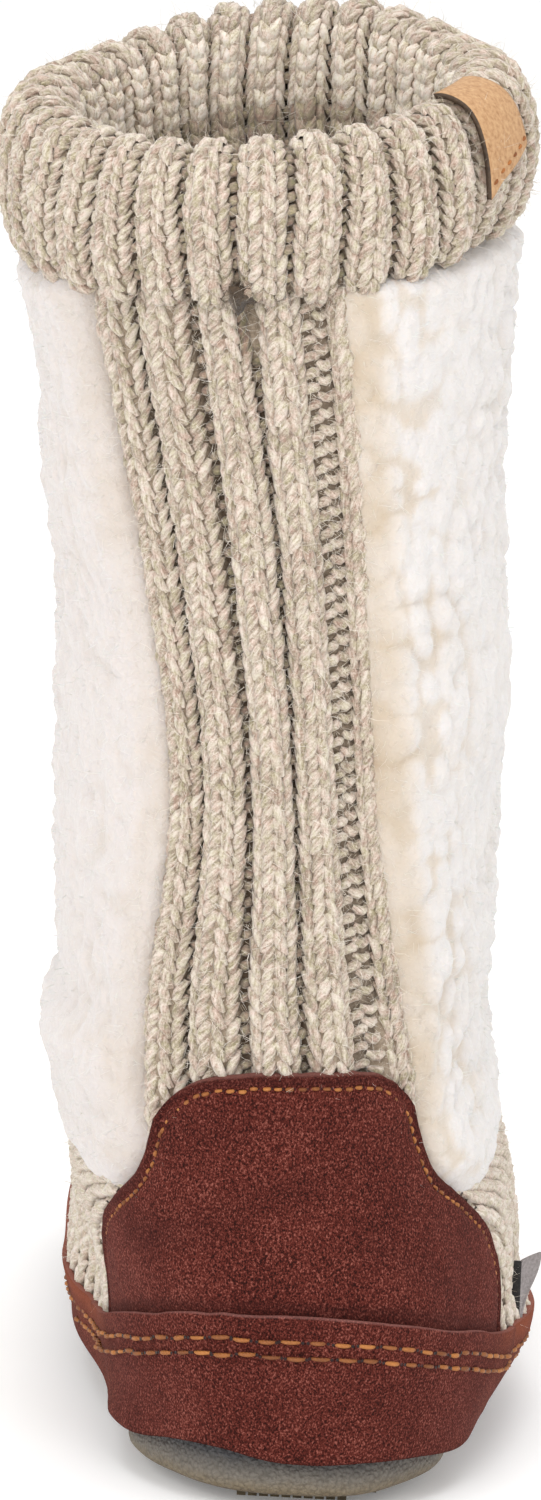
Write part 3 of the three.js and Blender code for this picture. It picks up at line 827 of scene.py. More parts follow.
def mixed(tree, factor, first, second, blend="MIX"):
    """Two colours put together by a factor."""
    inputs = {0: factor, 6: first, 7: second}
    return add(tree, "ShaderNodeMix", inputs, data_type="RGBA", blend_type=blend).outputs[2]


def attribute(tree, name):
    """A value that the points of a piece carry."""
    return add(tree, "ShaderNodeAttribute", attribute_name=name).outputs["Fac"]


def math_node(tree, operation, *values, clamp=False):
    """The result of one sum; each value is a socket or a number."""
    node = add(tree, "ShaderNodeMath", dict(enumerate(values)), operation=operation, use_clamp=clamp)
    return node.outputs[0]


def new_material(name, **shader):
    """A material with inputs of its shader set; an underscore stands for a space."""
    material = bpy.data.materials.new(name)
    material.use_nodes = True
    tree = material.node_tree
    bsdf = tree.nodes["Principled BSDF"]
    for key, value in shader.items():
        bsdf.inputs[key.replace("_", " ")].default_value = value
    return material, tree


def dress(tree, tint, normal=None):
    """Leads a colour, and a bumped normal if there is one, to the material's shader."""
    inputs = tree.nodes["Principled BSDF"].inputs
    tree.links.new(tint, inputs["Base Color"])
    if normal is not None:
        tree.links.new(normal, inputs["Normal"])


def object_noise(tree, scale, detail=2.0, stretch=(1, 1, 1), rough=0.5, output="Fac"):
    """Noise in the piece's own space."""
    where = add(tree, "ShaderNodeTexCoord").outputs["Object"]
    mapped = add(tree, "ShaderNodeMapping", {"Vector": where, "Scale": stretch}).outputs["Vector"]
    inputs = {"Vector": mapped, "Scale": scale, "Detail": detail, "Roughness": rough}
    return add(tree, "ShaderNodeTexNoise", inputs).outputs[output]


def bump(tree, height, strength, distance, before=None):
    """A bumped normal, on top of one made before it."""
    inputs = {"Height": height, "Strength": strength, "Distance": distance}
    if before is not None:
        inputs["Normal"] = before
    return add(tree, "ShaderNodeBump", inputs).outputs["Normal"]


def yarn_material(name, dark, middle, light):
    """Ragg yarn: soft streaks of light and dark fibre along each strand, with faint flecks of colour."""
    material, tree = new_material(
        name, Roughness=1.0, Specular_IOR_Level=0.2, Sheen_Weight=0.3, Sheen_Roughness=0.6)
    uv = add(tree, "ShaderNodeUVMap").outputs["UV"]
    tone = attribute(tree, "tone")
    parts = add(tree, "ShaderNodeSeparateXYZ", {"Vector": uv})
    u = parts.outputs["X"]
    v = parts.outputs["Y"]
    shift = math_node(tree, "MULTIPLY", tone, 57.0)
    spiral = math_node(tree, "MULTIPLY_ADD", u, 0.45, v)
    place = add(tree, "ShaderNodeCombineXYZ", {"X": u, "Y": spiral, "Z": shift}).outputs["Vector"]
    drawn = add(tree, "ShaderNodeMapping", {"Vector": place, "Scale": (1.4, 6.0, 1.0)}).outputs["Vector"]
    streaks = add(tree, "ShaderNodeTexNoise", {
        "Vector": drawn, "Scale": 1.6, "Detail": 4.0, "Roughness": 0.65}).outputs["Fac"]
    flecks = object_noise(tree, 2300.0, 3.0, rough=0.7)
    fine = math_node(tree, "MULTIPLY_ADD", flecks, 0.65, -0.325)
    both = math_node(tree, "ADD", streaks, fine)
    lean = math_node(tree, "MULTIPLY_ADD", tone, 0.15, -0.075)
    total = math_node(tree, "ADD", both, lean)
    shade = ramp_node(tree, total, (0.33, dark), (0.5, middle), (0.67, light))
    dyed = object_noise(tree, 620.0, 2.0)
    hues = ramp_node(tree, dyed, (0.34, "d8b3a4"), (0.5, "cdbfac"), (0.66, "c6c295"))
    twist = math_node(tree, "MULTIPLY_ADD", u, 2.6, v)
    turn = math_node(tree, "MULTIPLY", twist, 4 * math.pi)
    ply = math_node(tree, "SINE", turn)
    first = bump(tree, ply, 0.07, 0.0003)
    dress(tree, mixed(tree, 0.3, shade, hues), bump(tree, both, 0.5, 0.0004, first))
    return material


def ground_material(name, dark, light, painted_shade_codes=None):
    """Fabric seen between the stitches, with painted shade where its points are marked deep, down in the
    valleys.
    """
    material, tree = new_material(name, Roughness=1.0, Sheen_Weight=0.2)
    grain = object_noise(tree, 900.0, 4.0, rough=0.7)
    shade = ramp_node(tree, grain, (0.3, dark), (0.7, light))
    if painted_shade_codes is not None:
        # painted shade: darker colours where the points are marked deep
        deep = attribute(tree, "deep")
        shade = mixed(tree, deep, shade, ramp_node(tree, grain, (0.3, painted_shade_codes[0]), (0.7, painted_shade_codes[1])))
    dress(tree, shade, bump(tree, grain, 0.8, 0.0008))
    return material


def fuzz_material(name, code, **shader):
    """Loose fibres, from the first to the second tint by their tone."""
    material, tree = new_material(name, Roughness=0.9, **shader)
    tone = attribute(tree, "tone")
    shade = ramp_node(tree, tone, (0.0, code[0]), (1.0, code[1]))
    dress(tree, shade)
    return material


yarn = yarn_material("ragg_yarn", "6a5845", "b7a796", "dfd5ca")
# darker copy of the yarn: painted shade in the cuff's dimple and its deep inner rows
yarn_in_painted_shade = yarn_material("ragg_yarn_painted_shade", "58493a", "8d7b67", "baa994")
# darker still: painted shade in the dimple below the cuff's hem
dimple_yarn_painted_dark = yarn_material("ragg_yarn_dimple_painted_shade", "3a2c1d", "66533e", "927c60")
# lighter copy of the yarn: painted light on the cuff's inner face
inner_face_yarn_painted_light = yarn_material("ragg_yarn_painted_light_inside", "a8957d", "ecdfcf", "fdf7ee")
foot_yarn = yarn_material("ragg_yarn_foot", "a18f79", "d2c4b4", "ebe2d8")
# darker copy of the yarn for the purl loops down in the valleys: painted shade
purl_loops_painted_shade = yarn_material("ragg_purl_painted_shade", "46392b", "75634f", "a8957e")
# the last two colours are the ground's painted shade in the valleys and the dimple
ground = ground_material("knit_ground", "7d6c58", "b3a28e", ("3a2d20", "5c4b3a"))
lining = ground_material("brushed_lining", "7f6d57", "b3a088")
yarn_fuzz = fuzz_material("yarn_fuzz", ("b8aa95", "f0e9df"))
# dark fibres: painted shade over the dimple at the cuff's hem
shaded_fuzz = fuzz_material("yarn_fuzz_shaded", ("2b2118", "8f7d68"))


# Sock body: its wall, and the stitches that show on it
def upper_place(u, v):
    """The sock body's wall, up its outside and down its inside."""
    angle = u * 2 * math.pi
    up = np.where(v < 0.5, v * 2, 2 - v * 2)
    inside = v > 0.5
    height = FEATHER_EDGE + (COLLAR_HEIGHT - FEATHER_EDGE) * up
    edge = section("half", height) * signed_power(np.cos(angle), 2 / section("back_power", height))
    share = (edge - smooth(STRIP_HEIGHTS, STRIP_INNER, height)) / BACK_WIDTH
    behind = ramp(share, -0.05, 0.05) * (1 - ramp(share, 0.95, 1.05)) * (np.sin(angle) < 0) * (height > 50)
    out = np.where(inside, -KNIT_WALL, -0.4 - 2.8 * behind)
    low = np.clip(1 - (height - FEATHER_EDGE) / 16, 0, 1)
    points = off_wall(angle, height, out - np.maximum(0, heel_taper(angle)) * low**2)
    points[..., 2] = np.maximum(points[..., 2], foxing_foot(angle))
    return points


def make_upper():
    columns, rows = UPPER_GRID
    body = laid_grid("upper_wall", UPPER_GRID, upper_place)
    row = np.arange(columns * rows) // columns
    body.data.polygons.foreach_set("material_index", (row >= rows // 2).astype(np.int32))
    edit(body, weld, face_out)
    return finish_piece(body, "knit", [ground, lining], "upper")


def back_ground(u, v):
    """The felted ground of the back strip: its points, lying deeper in the valleys, and how much painted
    shade they take there and below the cuff's hem.
    """
    s = u * BACK_WIDTH
    t = BACK_GROUND_FOOT + (BACK_TUCK[1] - BACK_GROUND_FOOT) * v
    valleys = np.array(BACK_VALLEYS + BACK_WIDE_VALLEY) * BACK_WIDTH
    away = np.abs(s[:, None] - valleys).min(axis=1)
    points, normals = back.at(s, t)
    wide = ramp(s / BACK_WIDTH, *BACK_WIDE_EDGES[:2]) * (1 - ramp(s / BACK_WIDTH, *BACK_WIDE_EDGES[2:]))
    valley = np.maximum(1 - ramp(away, 0.5, 1.6), wide)
    middles = np.array(BACK_RIBS + (BACK_EDGE_RIB,)) * BACK_WIDTH
    shift = (s[:, None] - middles) / np.array(BACK_RIB_SPREAD + (BACK_EDGE_SPREAD,))
    rib = np.maximum(RIB_RISE + RIB_FILL - RIB_ROUND * (shift**2).min(axis=1), -1.6)
    floor = VALLEY_DEPTH + (BACK_WIDE_DEPTH - VALLEY_DEPTH) * wide
    level = rib - (rib + floor) * valley - BACK_TUCK_SINK * ramp(t, *BACK_TUCK)
    level = level - 2.0 * (1 - ramp(patch_gap(back.value("angle", s, t), t), *UNDER_PATCH))
    # painted shade in the valleys, less in the wide one, and in the dimple below the cuff's hem
    dimple = np.exp(-(((s - DIMPLE_ACROSS) / 4) ** 2)) * ramp(t, BACK_TUCK[0] - 9, BACK_TUCK[0] - 3)
    deep = np.clip(np.maximum(valley * (1 - 0.5 * wide), 1.3 * dimple), 0, 1)
    return points + normals * level[:, None], deep


def make_back_knit():
    random = np.random.default_rng(21)
    sheet = laid_grid("back_ground", BACK_GRID, lambda u, v: back_ground(u, v)[0])
    point_values(sheet, "deep", back_ground(*grid_shares(BACK_GRID))[1])
    finish_piece(sheet, "knit", [ground])
    rows = np.arange(BACK_STITCH_FOOT, BACK_TUCK[1], STITCH_ROW)
    ribs = rib_strands(np.array(BACK_RIBS) * BACK_WIDTH, rows, random, BACK_RIB_SPREAD)
    edge = rib_strands(np.array([BACK_EDGE_RIB * BACK_WIDTH]), rows, random, BACK_EDGE_SPREAD)
    plain = np.concatenate([ribs, edge], 1)
    purl = np.array(purl_strands(np.array(BACK_VALLEYS) * BACK_WIDTH, rows, random))
    purl[3] += BACK_VALLEY_SINK
    arcs = np.array(purl_arcs(np.array(BACK_WIDE_VALLEY) * BACK_WIDTH, rows, random))
    plain = np.concatenate([plain, np.zeros((1, plain.shape[1]))])
    straight = np.zeros((1, purl.shape[1]))
    # strands in the dimple below the cuff's hem take a dark copy of the yarn: painted shade
    shaded = np.abs(plain[0] - DIMPLE_ACROSS) < DIMPLE_SHADE * ramp(plain[1], DIMPLE_FOOT, DIMPLE_HEIGHT)
    for name, laid, material, length, thick, loose, seed in (
        ("back_rib", plain[:, ~shaded], yarn, STRAND_LENGTH, STRAND_THICK, 6500, 308),
        ("back_rib_shaded", plain[:, shaded], dimple_yarn_painted_dark, STRAND_LENGTH, STRAND_THICK, 60, 315),
        ("back_purl", np.concatenate([purl, straight]), purl_loops_painted_shade, PURL_LENGTH, PURL_THICK, 1200, 309),
        ("back_purl_wide", arcs, yarn, 0.3, 2.0, 900, 314),
    ):
        gap = patch_gap(back.value("angle", laid[0], laid[1]), laid[1])
        clear = gap > -3
        s, t, lean, rise, bend = laid[:, clear]
        rise = rise - 1.2 * (1 - ramp(gap[clear], *UNDER_PATCH)) - BACK_TUCK_SINK * ramp(t, *BACK_TUCK)
        strip = lay_strands(name, back, s, t, lean, rise, random, length=length, thick=thick, bend=bend)
        finish_piece(strip, "knit", [material])
        lay_fuzz(name + "_fuzz", back, s, t, rise, loose, seed)


def make_foot_knit():
    random = np.random.default_rng(22)
    rows = np.arange(2, foot.t[-1], FOOT_ROW)
    plain = np.array(rib_strands(np.arange(-FOOT_RIBS, FOOT_RIBS + 1) * FOOT_RIB_PITCH, rows, random, 1.08))
    purl = np.array(purl_strands((np.arange(-FOOT_RIBS, FOOT_RIBS) + 0.5) * FOOT_RIB_PITCH, rows, random))
    for name, laid, material, length in (
        ("foot_rib", plain, foot_yarn, STRAND_LENGTH),
        ("foot_purl", purl, yarn, PURL_LENGTH),
    ):
        s, t = laid[:2]
        height = foot.value("height", s, t)
        angle = foot.value("angle", s, t)
        from_heel = foot.value("heel", s, t)
        along = foot.at(s, t)[0][:, 1]
        clear = (height > foxing_top(along) - 1) & (patch_gap(angle, height) > 1)
        clear &= from_heel > np.where(height > FOOT_HIGH, FOOT_FROM_HEEL[1], FOOT_FROM_HEEL[0])
        clear &= ~under_sherpa(angle, height, 1, 3) & ~under_sherpa(angle - 2 * math.pi, height, -1, 3)
        s, t, lean, rise = laid[:, clear]
        rise = np.maximum(rise, -0.9)
        rings = 4 if length > 2 else 3
        long = length * FOOT_ROW / STITCH_ROW
        knit = lay_strands(name, foot, s, t, lean, rise, random, rings, 4, long, FOOT_STRAND_THICK)
        finish_piece(knit, "knit", [material])
        if length > 2:
            lay_fuzz(name + "_fuzz", foot, s, t, rise, 4000, 310)


def cuff_dimple(s, t):
    """1 in the middle of the dimple at the cuff's hem, falling to 0 round it."""
    place, level, _, wide, tall = CUFF_DENTS[0]
    return hill(round_cuff(s, place), t - level, wide, tall)


def cuff_place(u, v):
    """The felted ground of the cuff: its points, lying deeper in the valleys, and how much painted shade
    they take there and in the dimple at its hem.
    """
    t = cuff.t[0] + (cuff.t[-1] - cuff.t[0] - 0.01) * v
    s = u * CUFF_ROUND
    phase = np.abs(s / RIB_PITCH - np.round(s / RIB_PITCH))
    points, normals = cuff.at(s, t)
    depth = VALLEY_DEPTH + CUFF_INSIDE_VALLEY * ramp(t, CUFF_TURN - 8, CUFF_TURN + 2)
    valley = ramp(phase, 0.36, 0.47)
    rib = RIB_RISE + RIB_FILL - RIB_ROUND * (phase * RIB_PITCH) ** 2
    rib = rib * ramp(t, 1.5, 5) * (1 - ramp(t, cuff.t[-1] - 5, cuff.t[-1] - 1.5))
    # painted shade in the valleys and in the dimple at the hem
    dimple = cuff_dimple(s, t)
    deep = np.clip(np.maximum(valley, 1.6 * dimple), 0, 1)
    level = rib - (rib + depth) * valley - 1.5 * dimple
    return points + normals * level[:, None], deep


def make_cuff():
    random = np.random.default_rng(23)
    body = laid_grid("cuff_wall", CUFF_GRID, lambda u, v: cuff_place(u, v)[0])
    point_values(body, "deep", cuff_place(*grid_shares(CUFF_GRID))[1])
    edit(body, weld)
    finish_piece(body, "knit", [ground], "cuff")
    rows = np.arange(1, cuff.t[-1], STITCH_ROW)
    s, t, lean, rise = rib_strands(np.arange(CUFF_RIBS) * RIB_PITCH, rows, random, 1.0)
    lay_fuzz("cuff_fuzz", cuff, s, t, rise, 13000, 320)
    inside = t > CUFF_TURN
    laid = np.stack([s, t, lean, rise])
    shaded = ~inside & (cuff_dimple(s, t) > 0.3)
    # strands in the dimple and the deep rows take a darker copy of the yarn, painted shade; the rest of the
    # inner face takes a lighter copy, painted light
    for name, zone, material, rings in (
        ("cuff_rib", ~inside & ~shaded, yarn, 5),
        ("cuff_rib_shaded", shaded, yarn_in_painted_shade, 5),
        ("cuff_rib_painted_light_inside", inside & (t < CUFF_DEEP), inner_face_yarn_painted_light, 4),
        ("cuff_rib_painted_shade_deep", t >= CUFF_DEEP, yarn_in_painted_shade, 4),
    ):
        knit = lay_strands(name, cuff, *laid[:, zone], random, rings=rings, thick=CUFF_STRAND_THICK)
        finish_piece(knit, "knit", [material])
    valleys = (np.arange(CUFF_RIBS) + 0.5) * RIB_PITCH
    s, t, lean, rise = purl_strands(valleys, rows[1:], random)
    knit = lay_strands("cuff_purl", cuff, s, t, lean, rise, random, rings=4, sides=5, length=PURL_LENGTH)
    finish_piece(knit, "knit", [purl_loops_painted_shade])
    # dark fibres over the dimple at the hem: painted shade
    s = CUFF_DENTS[0][0] + random.normal(0, 2.4, DIMPLE_FIBRES)
    t = np.clip(random.normal(2.5, 3, DIMPLE_FIBRES), 0.2, 12)
    lay_fuzz("dimple_fuzz", cuff, s, t, np.full(DIMPLE_FIBRES, -0.4), DIMPLE_FIBRES, 330, shaded_fuzz)


make_upper()
make_back_knit()
make_foot_knit()
make_cuff()


# Sherpa side panels
SHERPA_WIDTH = 95
SHERPA_GRID = (120, 220)
SHERPA_FIBRES = 9000
SHERPA_FIBRE_WIDTH = 0.12
SHERPA_TUFTED = {1: 1.0, -1: 0.45}  # how full the tufts are on the outer and the inner panel
SHERPA_SHADED = {1: 1.0, -1: 0.5}  # how dark the pile is beside the back strip
SHERPA_ROOT = 0.6  # its edges lie this deep in the knit
SHERPA_SHOULDER = {"back": 11, "front": 8, "hem": 8, "top": 4, "patch": 6}  # how wide its rounded edges are
TUFT_RISE = 2.0
TUFT = (4.4, 6.6, (0.5, 0.85))  # width and length, and the shares of them that a tuft fills
FINE_TUFT = (2.1, 2.8, (0.6, 1.0))
SHERPA_FORWARD = (30, 58)  # past here the tufts stand fuller
SHERPA_LAP = 0.016  # share of its width that laps over the back strip
SHERPA_PILE = {
    -1: (
        (55, 64, 72, 79, 84, 89, 95, 127, 150, 170, 192, 210, 235),
        (3.0, 4.4, 5.4, 7.0, 6.2, 3.4, 3.8, 3.6, 3.4, 3.2, 5.4, 5.0, 5.8),
    ),
    1: ((55, 87, 105, 127, 150, 160, 190, 210, 232), (3.6, 4.8, 6, 5.6, 7, 5.8, 4.6, 5.0, 4.8)),
}


def swell(distance, reach):
    """Rises from 0 at an edge to 1 with a round shoulder."""
    t = np.clip(distance / reach, 0, 1)
    return np.sqrt(np.maximum(0, 1 - (1 - t) ** 2))


def sherpa_point(u, v, side):
    """A sherpa panel's pile: its surface, the wall's normal there and how much painted shade it takes in the
    clefts and beside the back strip.
    """
    hem = SHERPA_HEM[0] + (SHERPA_HEM[1] - SHERPA_HEM[0]) * u**SHERPA_HEM_SWEEP
    height = hem + (SHERPA_TOP - hem) * v
    back_seam, front_seam = sherpa_edges(height, side)
    angle = back_seam + (front_seam - back_seam) * (u * (1 + SHERPA_LAP) - SHERPA_LAP)
    across = u * SHERPA_WIDTH
    bent_across = across + 2.2 * soft_noise(across, height, 13, 31 + side)
    bent_height = height + 3.0 * soft_noise(across, height, 11, 41 + side)
    near = tufts(bent_across, bent_height, *TUFT, 51 + side)
    fine = tufts(bent_across, bent_height, *FINE_TUFT, 61 + side)
    cushion = np.exp(-1.5 * near**2)
    rows = ramp(soft_noise(across, height, 17, 71 + side), -0.6, 0.4)
    forward = ramp(across, *SHERPA_FORWARD)
    strength = (1 - 0.4 * ramp(across, 26, 52)) * SHERPA_TUFTED[side] + 0.8 * forward
    strength = strength * (0.45 + 0.55 * rows)
    lumps = TUFT_RISE * strength * (cushion - 0.45)
    lumps = lumps + 0.5 * (0.6 - np.minimum(fine, 1.3)) + 0.5 * soft_noise(across, height, 3.4, 81 + side)
    shoulder = swell(across, SHERPA_SHOULDER["back"])
    shoulder = shoulder * swell(SHERPA_WIDTH - across, SHERPA_SHOULDER["front"])
    shoulder = shoulder * swell(height - hem, SHERPA_SHOULDER["hem"])
    shoulder = shoulder * swell(SHERPA_TOP - height, SHERPA_SHOULDER["top"])
    shoulder = shoulder * swell(patch_gap(angle, height) - 0.5, SHERPA_SHOULDER["patch"])
    pile = smooth(*SHERPA_PILE[side], height)
    out = (pile + SHERPA_ROOT + lumps) * shoulder - SHERPA_ROOT
    normals = wall_normal(angle, height)
    points = wall(angle, height) + normals * out[..., None]
    # painted shade in the clefts between the tufts and in a band beside the back strip, where the pile is
    # also pressed flat; depth carries it to the colour
    patchy = 0.55 + 0.45 * soft_noise(across, height, 12, 91)
    cleft = ramp(near, 0.6, 1.05)
    beside = (1 - ramp(across, 3, 9)) * (0.4 + 0.6 * patchy) * (1 - 0.2 * cushion)
    among = ramp(across, 3, 8) * (1 - ramp(across, 14, 28)) * cleft * (0.2 + 0.5 * patchy)
    pressed = (0.8 * beside + 0.65 * among) * SHERPA_SHADED[side]
    gaps = strength * cleft * (1 - 0.6 * ramp(across, 22, 50) + 0.6 * forward)
    depth = np.clip((0.14 + 0.16 * forward) * gaps + pressed, 0, 1)
    return points, normals, depth


def sherpa_material(name, *tints):
    """Deep pile, from the tint of its tips to painted shade in its hollows and beside the back strip."""
    material, tree = new_material(
        name, Roughness=1.0, Sheen_Weight=0.35, Sheen_Roughness=0.5, Subsurface_Weight=0.35,
        Subsurface_Radius=(1.0, 0.8, 0.6), Subsurface_Scale=0.0012)
    depth = attribute(tree, "depth")
    cloud = object_noise(tree, 70.0, 2.0)
    wool = object_noise(tree, 900.0, 5.0, rough=0.65)
    curl = object_noise(tree, 420.0, 2.0)
    total = math_node(tree, "MULTIPLY_ADD", cloud, 0.4, -0.2)
    shade = math_node(tree, "ADD", depth, total, clamp=True)
    tint = ramp_node(tree, shade, *zip((0.0, 0.3, 0.7, 1.0), tints))
    first = bump(tree, curl, 0.5, 0.0012)
    dress(tree, tint, bump(tree, wool, 0.6, 0.0006, first))
    return material


def make_sherpa(side, name, node):
    random = np.random.default_rng(100 + side)
    panel = laid_grid(name, SHERPA_GRID, lambda u, v: sherpa_point(u, v, side)[0])
    point_values(panel, "depth", sherpa_point(*grid_shares(SHERPA_GRID), side)[2])
    if side > 0:
        edit(panel, face_out)
    finish_piece(panel, "sherpa", [sherpa[side]], node)
    u = 0.01 + 0.97 * random.uniform(0, 1, SHERPA_FIBRES) ** 1.6  # more of them beside the back strip
    v = random.uniform(0.01, 0.99, SHERPA_FIBRES)
    roots, normals, depth = sherpa_point(u, v, side)
    directions = unit(normals * 0.55 + unit(random.normal(size=(SHERPA_FIBRES, 3))))
    length = random.uniform(0.7, 1.8, SHERPA_FIBRES)
    # the fibres take the pile's painted shade
    tone = 1 - depth * random.uniform(0.5, 1, SHERPA_FIBRES)
    fibres = ribbons(name + "_fibres", roots - normals * 0.3, directions, normals, length,
                     SHERPA_FIBRE_WIDTH, 1.1, tone, 105 + side)
    finish_piece(fibres, "sherpa", [sherpa_fibre])


# the inner panel's copy is a little darker: painted shade
sherpa = {
    1: sherpa_material("sherpa_pile", "dad5d2", "d4cac0", "c6b6a2", "b49d84"),
    -1: sherpa_material("sherpa_pile_painted_shade_inner", "d4ccc8", "cec4bc", "c2b2a2", "b49d84"),
}
sherpa_fibre = fuzz_material(
    "sherpa_fibre", ("d4c3aa", "e8e2dc"), Subsurface_Weight=0.3, Subsurface_Scale=0.002)
make_sherpa(-1, "sherpa_inner", "sherpa_panel_inner")
make_sherpa(1, "sherpa_outer", "sherpa_panel_outer")


# Suede heel patch and sidewall
def suede_material():
    """Short nap: fine flecks of light and dark fibre over soft brushed patches, with painted shade where the
    pieces mark a rim.
    """
    material, tree = new_material(
        "suede", Roughness=1.0, Specular_IOR_Level=0.15, Sheen_Weight=0.12, Sheen_Roughness=0.5,
        Sheen_Tint=colour("b8685a"))
    dye = attribute(tree, "dye")
    rim = attribute(tree, "rim")
    cut = attribute(tree, "cut")
    nap = object_noise(tree, 60.0, 3.0, rough=0.6)
    mottle = object_noise(tree, 700.0, 3.0, rough=0.65)
    grain = object_noise(tree, 2900.0, 2.0, stretch=(1, 1, 0.75), rough=0.7)
    soft = math_node(tree, "MULTIPLY_ADD", nap, 0.13, 0.0)
    wide = math_node(tree, "MULTIPLY_ADD", mottle, 0.07, soft)
    total = math_node(tree, "MULTIPLY_ADD", grain, 0.78, wide)
    shade = ramp_node(tree, total, (0.385, "230c09"), (0.475, "4b1c16"), (0.547, "602b23"), (0.65, "92574c"))
    stained = mixed(tree, dye, shade, mixed(tree, grain, colour("5f2c1d"), colour("a05635")))
    # rim darkens the colour: painted shade under the sidewall's top edge, in the creases, in the sidewall's
    # seam crack and on its underside, and a darker margin along the patch's edge
    dark = mixed(tree, rim, stained, mixed(tree, 0.42, stained, colour("2c100e")))
    pale = mixed(tree, cut, dark, mixed(tree, grain, colour("8a5750"), colour("b98a82")))
    first = bump(tree, mottle, 0.2, 0.0005)
    dress(tree, pale, bump(tree, grain, 0.6, 0.0004, first))
    return material


def thread_material():
    material, tree = new_material("waxed_thread", Roughness=0.6)
    uv = add(tree, "ShaderNodeUVMap").outputs["UV"]
    tone = attribute(tree, "tone")
    inputs = {"Vector": uv, "Scale": 3.0, "Distortion": 1.0}
    wave = add(tree, "ShaderNodeTexWave", inputs, bands_direction="DIAGONAL").outputs["Fac"]
    worn = object_noise(tree, 900.0, 3.0, rough=0.7)
    mingled = math_node(tree, "MULTIPLY_ADD", worn, 0.9, -0.45)
    total = math_node(tree, "ADD", tone, mingled, clamp=True)
    shade = ramp_node(tree, total, (0.0, "784218"), (0.5, "975a26"), (1.0, "b57336"))
    dress(tree, shade, bump(tree, wave, 0.5, 0.0002))
    return material


def heel_chart():
    """The heel: s is the distance round from the back seam, positive to the outer side, and t the height."""
    heights = HEEL_HEIGHTS[:-1]
    reach = np.arange(0, 96, 1.5)
    angles = {}
    for side in (1, -1):
        turns = -QUARTER + side * np.arange(0, 2.6, AROUND_STEP)
        angles[side] = walked_angles(turns, heights, reach)[0]
    angle = both_sides(angles[-1], angles[1])
    return Chart(both_sides(-reach, reach), heights, wall(angle, heights[None, :]))


heel = heel_chart()


def crowded(share, ends):
    """Spreads a grid so that more of its lines lie by its two ends."""
    return share - ends * np.sin(2 * math.pi * share) / (2 * math.pi)


def patch_edge(share, height, crown):
    """Distance in from the patch's cut edge."""
    side_gap = (1 - np.abs(share)) * patch_half(height) / patch_slant(height)
    return np.minimum(side_gap, crown - height)


PATCH_FOOT = 22
PATCH_GRID = (150, 100)
PATCH_CROWDING = 0.9
PATCH_STITCH_INSET = 2.8
PATCH_STITCH_FOOT = 29
PATCH_STITCH_PITCH = 2.15
PATCH_STITCH_HALF = 0.85
PATCH_THREAD = 0.75
PATCH_HOLE = 0.55
PATCH_LIFT = 1.4
PATCH_CROWN_LIFT = 1.1  # more over the ribs of the back strip
PATCH_OVER_RIBS = (58, 78)
PATCH_CREASES = (  # place round, height, lean, half length, half width and depth, negative for a ridge
    (-26, 51, 0.25, 16, 3.4, 0.8),
    (-24, 43, 0.2, 15, 4.0, -0.5),
    (2, 62, 0.35, 14, 3.2, 0.55),
    (22, 50, -0.5, 12, 3.0, 0.5),
    (-6, 74, 0.1, 16, 3.0, 0.35),
)
PATCH_SEWN_IN = 0.3  # its sewing lies deeper low down
PATCH_SEWN_HEIGHT = (46, 58)


def patch_crease(s, t):
    """Soft troughs and ridges pressed in the patch."""
    total = np.zeros(np.shape(s))
    for place, height, lean, half_length, half_width, depth in PATCH_CREASES:
        along = (s - place) * math.cos(lean) + (t - height) * math.sin(lean)
        across = (t - height) * math.cos(lean) - (s - place) * math.sin(lean)
        total = total + depth * hill(along, across, half_length, half_width)
    return total


def patch_lift(inset, s, t):
    """How far the patch stands off the wall, with its creases and its sewn groove."""
    lift = PATCH_LIFT + PATCH_CROWN_LIFT * ramp(t, *PATCH_OVER_RIBS) - patch_crease(s, t)
    dome = -0.5 + (lift + 0.5) * swell(inset, 1.2)
    groove = 0.5 * np.exp(-(((inset - PATCH_STITCH_INSET) / 0.9) ** 2))
    return dome - groove + 0.45 * soft_noise(s, t, 14, 201) + 0.12 * soft_noise(s, t, 3, 202)


def patch_place(u, v):
    """The patch's points, their insets, heights over the sidewall and places on the heel."""
    share = crowded(u, PATCH_CROWDING) * 2 - 1
    crown = patch_crown(share)
    low = v - PATCH_CROWDING / math.pi * v * (0.5 - v) * 2
    height = PATCH_FOOT + (crown - PATCH_FOOT) * np.where(v > 0.5, crowded(v, PATCH_CROWDING), low)
    s = patch_lean(height) + share * patch_half(height)
    inset = patch_edge(share, height, crown)
    rough = 0.35 * soft_noise(s * 1.3, height * 1.3, 2.2, 203) * (1 - swell(inset, 2.5))
    points, normals = heel.at(s + rough, height + rough)
    above = height - foxing_top(points[:, 1])
    return points + normals * patch_lift(inset, s, height)[..., None], inset, above, (s, height)


def make_patch():
    patch = laid_grid("heel_suede", PATCH_GRID, lambda u, v: patch_place(u, v)[0])
    u, v = grid_shares(PATCH_GRID)
    inset, above, spot = patch_place(u, v)[1:]
    # painted shadow under the sidewall's top edge and painted shade in the creases go into rim, with the
    # darker margin along the patch's edge
    shadow = 1.5 * (1 - ramp(above, 0.2, 2.6))
    pressed = np.clip(0.75 * patch_crease(*spot), 0, 1)
    point_values(patch, "rim", np.maximum(np.maximum(1 - ramp(inset, 1.6, 2.9), shadow), pressed))
    around = np.abs(u * 2 - 1)
    point_values(patch, "dye", 0.15 * (1 - ramp(inset, 0.2, 0.9)) + 0.3 * ramp(around, 0.86, 0.99))
    point_values(patch, "cut", 0.35 * (1 - ramp(inset, 0.1, 0.7)))
    return finish_piece(patch, "suede", [suede], "heel_patch")


